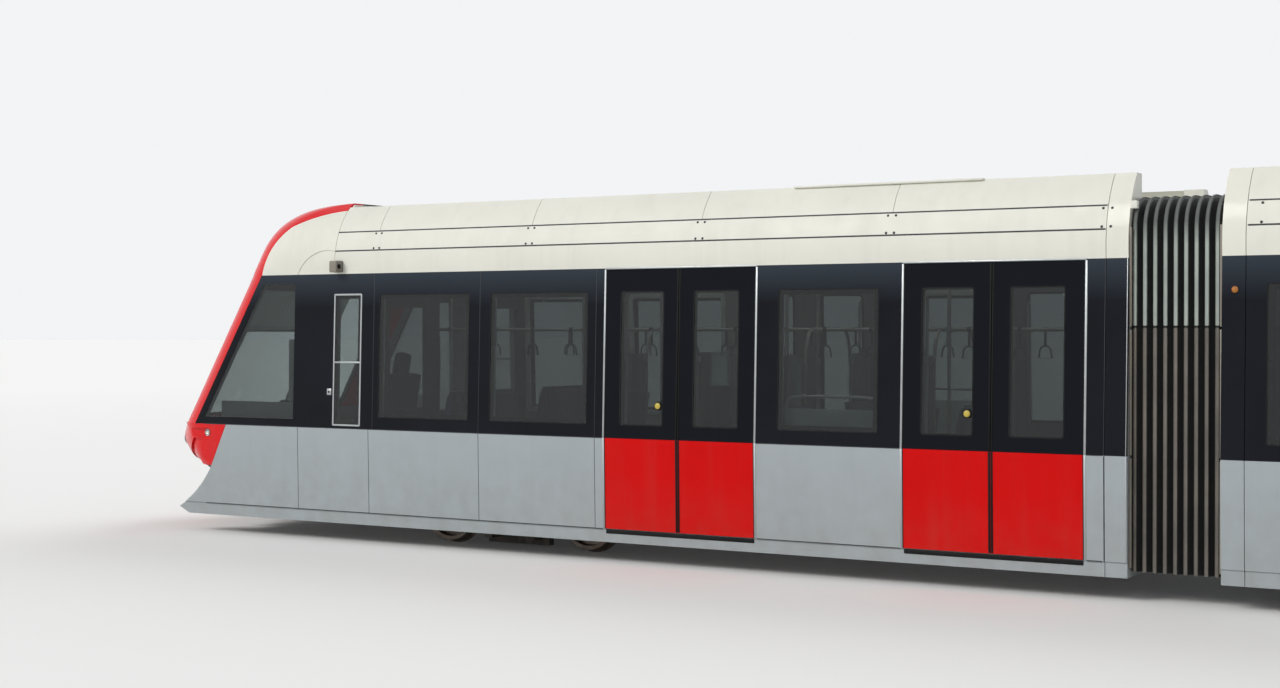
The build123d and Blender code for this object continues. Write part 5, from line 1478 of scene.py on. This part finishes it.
def sun_blind():
    """A pleated blind drawn a third of the way down the windscreen: roller, cloth and foot rails."""
    roller = [pipe("post", across_screen(BLIND_HALF + 0.03, BLIND_TOP), 0.024)]
    for y in (-0.52, 0.52):
        x = on_screen(y, BLIND_TOP)[0].x - BLIND_BEHIND
        roof = touch("car_b_hood", (x, y, BLIND_TOP), (0, 0, 1))[0].z
        low, high = (x - 0.012, y - 0.020, BLIND_TOP), (x + 0.012, y + 0.020, roof + 0.004)
        roller.append(bar("post", low, high))
    foot = across_screen(BLIND_HALF, BLIND_FOOT)
    rails = [pipe("blind", foot, 0.014), pipe("blind", [p + Vector((-0.012, 0, 0.034)) for p in foot], 0.008)]
    rollers = ride_ends("blind_rollers", roller, "cab_trim")
    cloths = ride_ends("blind_cloth", [blind_cloth()])
    for cloth, rail, roller in zip(cloths, ride_ends("blind_rails", rails), rollers):
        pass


def slit_window():
    """The narrow window behind the cab: bright frame, middle bar and a catch with its lock beside it."""
    x, z = END_X + sum(CAB_SLIT) / 2, sum(CAB_SLIT_Z) / 2
    wide, high = CAB_SLIT[1] - CAB_SLIT[0] + 0.02, CAB_SLIT_Z[1] - CAB_SLIT_Z[0] + 0.02
    beside = END_X + CAB_SLIT[1] + 0.055
    ring = plate_ring("trim", wide, high, 0.016, 0.007, 0.012)
    middle = bar("trim", (-0.165, -0.006, -0.008), (0.165, 0.0015, 0.008), 0.002)
    catch = bar("trim", (-0.028, -0.006, -0.032), (0.028, 0.006, 0.032), 0.005)
    lock = lathe("black", ((0, 0.010), (0.008, 0.010), (0.009, 0.006)), axis=OUTWARDS, steps=16)
    pieces = [
        put(ring, on_side(x, z, 0.002)), put(middle, on_side(x, 1.760)),
        put(catch, on_side(beside, 1.470)), put(lock, on_side(beside, 1.470, 0.001)),
    ]
    ride_ends("slit_frames", mirrored(pieces))


# Readers on the stanchions by the doors

READER_CLAMP = ((0, 0.022), (0.003, 0.024), (0.087, 0.024), (0.090, 0.022))
READER_Y, READER_Z = 0.320, 1.180


def readers():
    """Card readers: a rounded case, a dark screen and a clamp on each stanchion."""
    protos = {
        "reader_cases": bar("panel", (-0.055, 0.016, -0.090), (0.055, 0.085, 0.090), 0.016, 3),
        "reader_faces": bar("display", (-0.040, 0.083, -0.010), (0.040, 0.088, 0.070), 0.004),
        "reader_clamps": lathe("black", READER_CLAMP, (0, 0, -0.045), steps=20),
    }
    for name, proto in protos.items():
        ends = [twin(proto, moved(END_X + u + 0.18, READER_Y, READER_Z)) for u in END_DOORS]
        ride_ends(name, mirrored(ends))
        centre = [twin(proto, moved(CENTRE_DOORS[1] + 0.14, READER_Y, READER_Z))]
        ride_centre(name, quartered(centre))
        discard(proto)


# Bogies: axle box covers, springs and hoses, modelled about one bogie's middle and copied to all four

AXLE_COVER = ((0, 0.098), (0.020, 0.098), (0.030, 0.085), (0.034, 0.03))
COVER_BOLT, COVER_BOLTS, BOLT_CIRCLE = ((0, 0.009), (0.010, 0.009), (0.012, 0.006)), 6, 0.078
SPRING = (
    (0, 0.060), (0.016, 0.062), (0.020, 0.048), (0.034, 0.048), (0.038, 0.058),
    (0.052, 0.058), (0.056, 0.044), (0.066, 0.044), (0.070, 0.050), (0.080, 0.050),
)
BRAKE_HOSE = (
    (0.30, 0.93, 0.34), (0.42, 0.90, 0.40), (0.50, 0.80, 0.42), (0.44, 0.62, 0.36), (0.36, 0.50, 0.33),
)
FRAME_PIPE = ((-0.62, 0.33), (-0.3, 0.30), (0.3, 0.30), (0.62, 0.33))


def axle_cover(sx, sy):
    """The cover of an axle box with its ring of bolts."""
    x, y, out = sx * AXLE_X, sy * AXLE_Y, (0, sy, 0)
    pieces = [lathe("cast", AXLE_COVER, (x, y, AXLE_Z), out, 28)]
    for n in range(COVER_BOLTS):
        a = 2 * math.pi * (n + 0.5) / COVER_BOLTS
        place = (x + BOLT_CIRCLE * math.cos(a), y + sy * 0.018, AXLE_Z + BOLT_CIRCLE * math.sin(a))
        pieces.append(lathe("cast", COVER_BOLT, place, out, 6))
    return pieces


def bogie_details():
    covers, springs, hoses = [], [], []
    for sx in (-1, 1):
        for sy in (-1, 1):
            covers += axle_cover(sx, sy)
            for dx in (-0.20, 0.12):
                springs.append(lathe("black", SPRING, (sx * (AXLE_X + dx), sy * 1.0, 0.418), steps=24))
            hoses.append(pipe("black", [(sx * x, -sy * y, z) for x, y, z in BRAKE_HOSE], 0.011))
    for sy in (-1, 1):
        hoses.append(pipe("cast", [(x, sy * (AXLE_Y + 0.004), z) for x, z in FRAME_PIPE], 0.010))
    for name, group in {"axle_covers": covers, "springs": springs, "hoses": hoses}.items():
        proto = joined(name, group)
        for number, x in enumerate(BOGIE_X, 1):
            ride_on(f"bogie_{number}", f"bogie_{number}_{name}", [twin(proto, moved(x))], "cast_gear")
        discard(proto)


doors()
windows()
side_joints()
end_strips()
bellows()
lamp_units()
camera_pods()
wipers()
coupler_hoses()
light_strips()
straps()
cushions()
screens()
roof_details()
cover_details()
cab_seat()
cab_desk()
cab_linings()
hood_back()
sun_blind()
slit_window()
readers()
bogie_details()


# Studio: floor, sky light, two soft suns and the camera

CAMERA_AT = (-1.56, -15.23, 2.075)
LOOK = (-0.5196, 0.854)
PITCH = math.radians(0.43)
LENS = 52.03
REACH = 400.0
FLOOR_FADE = (14.0, 60.0)


def in_scene(name, data):
    """An object for some data, linked to the scene."""
    made = bpy.data.objects.new(name, data)
    bpy.context.scene.collection.objects.link(made)
    return made


def studio_floor():
    """A pale matt floor that brightens towards the backdrop, as seen by the camera and in reflections."""
    mesh = bpy.data.meshes.new("studio_floor")
    corners = [(-REACH, -REACH, 0), (REACH, -REACH, 0), (REACH, REACH, 0), (-REACH, REACH, 0)]
    mesh.from_pydata(corners, [], [(0, 1, 2, 3)])
    f = Finish("studio_floor", rough=0.9, Specular_IOR_Level=0.1)
    f.colour(f.mix(f.noise(0.3, 1), (0.817, 0.817, 0.807, 1), (0.827, 0.827, 0.817, 1)))
    away = f.math("SQRT", f.plus(f.times(f.x, f.x), f.times(f.y, f.y)))
    rays = f.node("LightPath").outputs
    seen = f.math("MAXIMUM", rays["Is Camera Ray"], rays["Is Glossy Ray"])
    f.shader.inputs["Emission Color"].default_value = (1, 1, 1, 1)
    f.feed(f.shader.inputs["Emission Strength"], f.times(seen, f.ramp(away, 0.03, 0.10, *FLOOR_FADE)))
    mesh.materials.append(f.material)
    in_scene("studio_floor", mesh)


def sky():
    """Even light from all round, brighter where the camera, a reflection or a pane looks straight at it."""
    world = bpy.data.worlds.new("studio_world")
    bpy.context.scene.world = world
    world.use_nodes = True
    tree = world.node_tree
    rays = tree.nodes.new("ShaderNodeLightPath").outputs
    seen = rays["Is Camera Ray"]
    for ray in ("Is Glossy Ray", "Is Transmission Ray"):
        either = tree.nodes.new("ShaderNodeMath")
        either.operation = "MAXIMUM"
        tree.links.new(seen, either.inputs[0])
        tree.links.new(rays[ray], either.inputs[1])
        seen = either.outputs[0]
    level = tree.nodes.new("ShaderNodeMapRange")
    tree.links.new(seen, level.inputs[0])
    level.inputs["To Min"].default_value = 0.50
    level.inputs["To Max"].default_value = 0.92
    backdrop = tree.nodes["Background"]
    tree.links.new(level.outputs[0], backdrop.inputs["Strength"])
    backdrop.inputs["Color"].default_value = (0.97, 0.98, 1.0, 1)


def sun(name, way, strength, spread, colour):
    light = bpy.data.lights.new(name, "SUN")
    light.energy = strength
    light.angle = math.radians(spread)
    light.color = colour
    in_scene(name, light).rotation_euler = Vector(way).to_track_quat("-Z", "Y").to_euler()


def camera():
    lens = bpy.data.cameras.new("camera")
    lens.lens = LENS
    lens.sensor_width = 36.0
    lens.clip_end = 400.0
    eye = in_scene("camera", lens)
    eye.location = CAMERA_AT
    look = Vector((LOOK[0] * math.cos(PITCH), LOOK[1] * math.cos(PITCH), -math.sin(PITCH)))
    eye.rotation_euler = look.to_track_quat("-Z", "Y").to_euler()
    bpy.context.scene.camera = eye


studio_floor()
sky()
sun("key", (0.42, 0.78, -0.62), 1.75, 24, (1.0, 0.985, 0.96))
sun("back", (-0.40, -0.80, -0.75), 0.9, 40, (0.96, 0.98, 1.0))
camera()
bpy.context.scene.view_settings.view_transform = "Standard"
